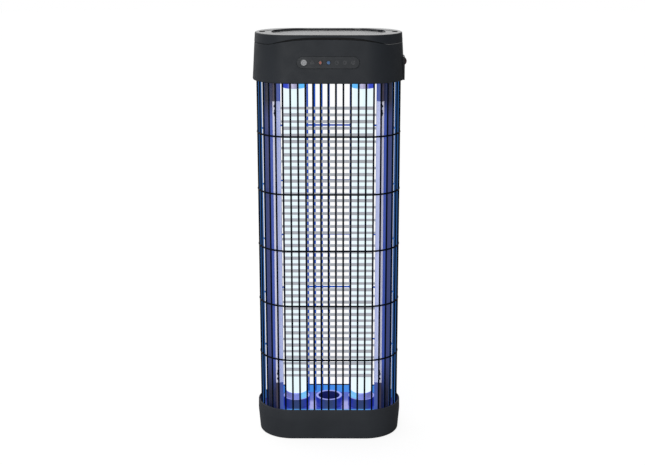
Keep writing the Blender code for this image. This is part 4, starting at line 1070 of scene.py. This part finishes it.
def make_socket_plate(mats):
    """Deck with soft edges, three rounded collars and their bores."""
    low, top = PLATE[0].z, PLATE[0].z + 2.0 * MM
    radius = PLATE[1].y
    edge = 0.6 * MM
    profile = [(radius - edge, low)] + rounded(radius - edge, low + edge, edge, -60.0, 0.0, 2)
    profile += rounded(radius - edge, top - edge, edge, 0.0, 90.0, 3)
    deck = loft("socket_deck", [stadium(HALF, r, z) for r, z in profile], [mats["chassis"]])
    bores = []
    for x, bore in ((-abs(LAMP_X), 13.8 * MM), (0.0, 12.8 * MM), (abs(LAMP_X), 13.8 * MM)):
        outer = 16.0 * MM
        lip = 0.9 * MM
        collar_top = PLATE[1].z
        fillet = rounded(outer + lip, top + lip, lip, -90.0, -180.0, 3)
        profile = [(outer + lip, top - MM)] + fillet
        profile += rounded(outer - lip, collar_top - lip, lip, 0.0, 90.0, 4)
        profile += rounded(bore + lip, collar_top - lip, lip, 90.0, 180.0, 4)
        profile += [(bore, top - MM)]
        collar = turned("collar", profile, (x, 0.0), [mats["chassis"]], 64, closed=True)
        carve(deck, collar, "UNION")
        bores.append(((x, 0.0, 0.0), "Z", bore, low - MM, top + 0.5 * MM))
    carve(deck, cylinders("bores", bores, 64))
    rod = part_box("tie_rod_right")
    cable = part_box("lamp_cable_right")
    holes = []
    for _, s in sides():
        for box, radius in ((rod, 1.9 * MM), (cable, 2.0 * MM)):
            centre = (box[0] + box[1]) / 2.0
            holes.append(((s * centre.x, centre.y, 0.0), "Z", radius, low - MM, top + MM))
    carve(deck, cylinders("holes", holes, 20))
    return stand_for(weigh(deck), "frame", "chassis", "socket_plate")


# ---------------------------------------------------------------- panel

def panel_solid(name, grow, front, depth, mats, edge=0.0):
    """A capsule that follows the slope of the front face, with an optional soft edge."""
    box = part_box("control_panel")
    centre_z = (box[0].z + box[1].z) / 2.0
    height = (box[1].z - box[0].z) / 2.0
    half = box[1].x - height

    def ring(inset, offset):
        radius = height + grow - inset
        points = []
        steps = 20
        for side in (1.0, -1.0):
            for i in range(steps + 1):
                angle = -math.pi / 2.0 + math.pi * i / steps
                x = side * (half + radius * math.cos(angle))
                z = centre_z + side * radius * math.sin(angle)
                points.append(Vector((x, -head_radius(z) + offset, z)))
        return points

    rings = [ring(0.0, depth), ring(0.0, -front + edge)]
    if edge:
        rings.append(ring(edge * 0.3, -front + edge * 0.3))
    rings.append(ring(edge, -front))
    return loft(name, rings, mats)


def panel_front(z):
    """Y of the panel's front surface at a height."""
    return -head_radius(z) - 0.2 * MM


def make_panel(mats):
    """Glossy capsule with bores for the button and lenses, and printed symbols."""
    panel = panel_solid("panel_face", 0.0, 0.2 * MM, 3.0 * MM, [mats["panel"]], 0.35 * MM)
    holes = []
    for node, extra in (("power_button", -0.9 * MM), ("indicator_red", -0.8 * MM), ("indicator_blue", -0.8 * MM)):
        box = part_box(node)
        centre = (box[0] + box[1]) / 2.0
        radius = (box[1].x - box[0].x) / 2.0 + extra + 0.25 * MM
        holes.append(((centre.x, centre.y, centre.z), "Y", radius, -15.0 * MM, 15.0 * MM))
    carve(panel, cylinders("panel_holes", holes, 40))
    stand_for(weigh(panel), "frame", "panel", "control_panel")
    make_symbols(mats)


def flat_ring(bm, x, z, inner, outer, start, end, thick=0.06 * MM):
    """A thin raised arc band on the panel."""
    steps = max(4, int(abs(end - start) / 12.0))
    rings = []
    full = abs(end - start) >= 360.0
    count = steps if full else steps + 1
    for i in range(count):
        angle = math.radians(start + (end - start) * i / steps)
        ring = []
        for radius, raise_by in ((inner, -thick), (outer, -thick), (outer, thick), (inner, thick)):
            px = x + radius * math.cos(angle)
            pz = z + radius * math.sin(angle)
            ring.append(Vector((px, panel_front(pz) - raise_by, pz)))
        rings.append(ring)
    skin(bm, rings, full)


def flat_bar(bm, x, z, length, width, angle, thick=0.06 * MM):
    """A thin raised bar on the panel, centred on a point."""
    turn = math.radians(angle)
    along = Vector((math.cos(turn), 0.0, math.sin(turn)))
    across = Vector((-math.sin(turn), 0.0, math.cos(turn)))
    rings = []
    for lift in (-thick, thick):
        ring = []
        for a, b in ((-1, -1), (1, -1), (1, 1), (-1, 1)):
            p = Vector((x, 0.0, z)) + along * length / 2.0 * a + across * width / 2.0 * b
            p.y = panel_front(p.z) - lift
            ring.append(p)
        rings.append(ring)
    skin(bm, rings)


def make_symbols(mats):
    """Plain generic symbols: a fan, three dial settings and a power mark on the button."""
    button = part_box("power_button")
    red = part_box("indicator_red")
    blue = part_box("indicator_blue")
    pitch = ((blue[0].x + blue[1].x) - (red[0].x + red[1].x)) / 2.0
    x0 = (button[0].x + button[1].x) / 2.0
    z = (button[0].z + button[1].z) / 2.0
    thin = 0.35 * MM
    bm = bmesh.new()
    fan_x = x0 + pitch
    for blade in range(3):
        angle = 90.0 + 120.0 * blade
        turn = math.radians(angle)
        bx = fan_x + 1.15 * MM * math.cos(turn)
        bz = z + 1.15 * MM * math.sin(turn)
        flat_ring(bm, bx, bz, 0.75 * MM, 0.75 * MM + thin, angle - 150.0, angle + 150.0)
    for index, share in ((4, 120.0), (5, 210.0), (6, 300.0)):
        cx = x0 + pitch * index
        flat_ring(bm, cx, z, 1.7 * MM, 1.7 * MM + thin, 0.0, 360.0)
        flat_ring(bm, cx, z, 0.75 * MM, 0.75 * MM + thin, 90.0, 90.0 - share)
        flat_bar(bm, cx + 1.9 * MM, z + 1.9 * MM, 0.9 * MM, thin, 0.0)
    symbols = to_object("panel_symbols", bm, [mats["symbol"]])
    stand_for(symbols, "frame", "panel")
    bm = bmesh.new()
    front = button[0].y
    mark_r = 1.35 * MM
    count = 20
    rings = []
    for i in range(count + 1):
        angle = math.radians(120.0 + 300.0 * i / count)
        ring = []
        for radius, lift in ((mark_r, 0.05), (mark_r + thin, 0.05), (mark_r + thin, -0.05), (mark_r, -0.05)):
            ring.append(Vector((x0 + radius * math.cos(angle), front + lift * MM, z + radius * math.sin(angle))))
        rings.append(ring)
    skin(bm, rings)
    bar = []
    for lift in (0.05, -0.05):
        plan = ((-1, 0.35), (1, 0.35), (1, 1.95), (-1, 1.95))
        bar.append([Vector((x0 + a * thin / 2.0, front + lift * MM, z + b * MM)) for a, b in plan])
    skin(bm, bar)
    mark = to_object("button_mark", bm, [mats["symbol_dark"]])
    stand_for(mark, "button", "silver")


# ---------------------------------------------------------------- nodes kept from the CAD

def make_rocker(mats):
    """Rocker with a smooth crowned face, tilted like its CAD body, and two pivot pins."""
    joint = next(row for row in frame["joints"] if row["name"] == "rocker_tilt")
    pivot = Vector(joint["pos_m"])
    half_y = 4.6 * MM
    tip = 3.7 * MM
    tilt = Matrix.Rotation(math.radians(7.0), 4, "Y")
    outline = [(-2.0 * MM, -tip + MM), (1.7 * MM, -tip)]
    steps = 12
    for i in range(1, steps):
        t = -1.0 + 2.0 * i / steps
        outline.append(((1.75 + 2.25 * math.sqrt(1.0 - t * t)) * MM, tip * t * 0.99))
    outline += [(1.7 * MM, tip), (-2.0 * MM, tip - MM)]
    rings = []
    for y, shrink in ((-half_y, 0.94), (-half_y + 0.4 * MM, 1.0), (half_y - 0.4 * MM, 1.0), (half_y, 0.94)):
        ring = []
        for x, z in outline:
            reach = x * shrink if x > 0 else x
            ring.append(pivot + tilt @ Vector((reach, y, z * shrink)))
        rings.append(ring)
    rocker = loft("rocker_face", rings, [mats["switch"]])
    pins = [(tuple(pivot), "Y", 0.8 * MM, -6.0 * MM, 6.0 * MM)]
    carve(rocker, cylinders("rocker_pins", pins, 20), "UNION")
    return stand_for(rocker, "rocker", "switch", "rocker_switch")


def finish_cad_nodes(mats):
    """Gives each shown CAD node its material and softens its edges."""
    slots = {row["node"]: row["material_slot"] for row in frame["record"]["subparts"]}
    special = {"side_switch_plate": "side", "upper_plate": "potting"}
    special.update({name: "bracket" for name in frame["nodes"] if name.startswith("grid_bracket")})
    soft = {"collection_drawer": 0.5, "side_switch_plate": 0.5, "power_socket": 0.3, "rocker_switch": 0.35,
            "hv_module": 0.5, "driver_transformer": 0.6, "driver_capacitor": 0.6}
    for name, obj in frame["nodes"].items():
        if obj.hide_render:
            continue
        obj.data.materials.clear()
        obj.data.materials.append(mats[special.get(name, slots[name])])
        obj.data.shade_smooth()
        obj.data.set_sharp_from_angle(angle=math.radians(35.0))
        width = soft.get(name, 0.25)
        bevel = obj.modifiers.new("soft_edges", "BEVEL")
        bevel.width = width * MM
        bevel.segments = 2
        bevel.limit_method = "ANGLE"
        bevel.angle_limit = math.radians(40.0)
        weigh(obj)


# ---------------------------------------------------------------- stage

def make_world():
    """White backdrop, which lights the object most from behind and the left, and least from the right."""
    world = bpy.data.worlds.new("studio")
    scene.world = world
    world.use_nodes = True
    nodes, links = world.node_tree.nodes, world.node_tree.links
    background = nodes["Background"]
    coords = nodes.new("ShaderNodeTexCoord")
    split = nodes.new("ShaderNodeSeparateXYZ")
    links.new(coords.outputs["Generated"], split.inputs["Vector"])

    def ramp(letter, start, end, low, high):
        node = nodes.new("ShaderNodeMapRange")
        for name, value in (("From Min", start), ("From Max", end), ("To Min", low), ("To Max", high)):
            node.inputs[name].default_value = value
        links.new(split.outputs[letter], node.inputs["Value"])
        return node.outputs["Result"]

    depth = ramp("Y", -0.6, 0.5, STUDIO_FRONT, STUDIO_BACK)
    aside = ramp("X", 0.15, 0.75, 1.0, STUDIO_RIGHT)
    left = ramp("X", -0.75, -0.25, STUDIO_LEFT, 1.0)
    both = nodes.new("ShaderNodeMath")
    both.operation = "MULTIPLY"
    links.new(aside, both.inputs[0])
    links.new(left, both.inputs[1])
    total = nodes.new("ShaderNodeMath")
    total.operation = "MULTIPLY"
    links.new(both.outputs[0], total.inputs[0])
    links.new(depth, total.inputs[1])
    path = nodes.new("ShaderNodeLightPath")
    seen = nodes.new("ShaderNodeMapRange")
    links.new(path.outputs["Is Camera Ray"], seen.inputs["Value"])
    links.new(total.outputs[0], seen.inputs["To Min"])
    seen.inputs["To Max"].default_value = 1.0
    background.inputs["Color"].default_value = (1.0, 1.0, 1.0, 1.0)
    links.new(seen.outputs["Result"], background.inputs["Strength"])


def make_floor():
    """A pale floor that fades into the white backdrop."""
    bm = bmesh.new()
    reach = 6.0
    rings = [circle(r, -0.0002, 64) for r in (reach, 0.8, 0.25)]
    loops = [[bm.verts.new(p) for p in ring] for ring in rings]
    for outer, inner in zip(loops, loops[1:]):
        for i in range(64):
            j = (i + 1) % 64
            bm.faces.new((outer[i], outer[j], inner[j], inner[i]))
    bm.faces.new(loops[-1])
    g = Graph("pale_floor")
    path = g.add("ShaderNodeLightPath").outputs["Is Camera Ray"]
    tone = g.spread(g.noise(40.0), 0.9, 0.95)
    g.colour(g.mix(path, (0.22, 0.22, 0.23), (0.25, 0.25, 0.25)))
    g.specular(0.0)
    g.roughness(tone)
    g.glow((1.0, 1.0, 1.0), g.spread(path, 0.05, 0.86, 0.0, 1.0))
    floor = to_object("floor", bm, [g.mat])


def area_light(name, place, target, size, power, colour=(1.0, 1.0, 1.0)):
    """A soft box aimed at a point."""
    data = bpy.data.lights.new(name, "AREA")
    data.shape = "RECTANGLE"
    data.size, data.size_y = size
    data.energy = power
    data.color = colour
    light = bpy.data.objects.new(name, data)
    scene.collection.objects.link(light)
    light.location = place
    aim = Vector(target) - Vector(place)
    light.rotation_euler = aim.to_track_quat("-Z", "Y").to_euler()
    light.visible_camera = False


def make_lights():
    """A large soft box to the front left and a weak one to the right."""
    area_light("key", (-0.5, -1.9, 0.7), (0.0, 0.0, 0.27), (0.9, 1.4), 15.5)
    area_light("rim", (1.5, 0.3, 0.7), (0.0, 0.0, 0.3), (0.3, 1.2), 0.8)


def make_camera():
    """The camera in front, slightly above, looking down by fifteen degrees."""
    data = bpy.data.cameras.new("camera")
    data.lens = 70.21
    data.sensor_width = 36.0
    data.shift_x = -0.02101
    data.shift_y = 0.00085
    camera = bpy.data.objects.new("camera", data)
    scene.collection.objects.link(camera)
    camera.location = (0.0148, -1.431, 0.6272)
    camera.rotation_euler = (math.radians(90.0 - 14.98), 0.0, math.radians(0.25))
    data.clip_end = 50.0
    scene.camera = camera


# ---------------------------------------------------------------- build

mats = make_materials()
make_base(mats)
make_head(mats)
make_cover(mats)
make_handle(mats)
make_guard(mats)
make_lamps(mats)
make_grid(mats)
make_socket_plate(mats)
make_panel(mats)
make_rocker(mats)
finish_cad_nodes(mats)
make_world()
make_floor()
make_lights()
make_camera()
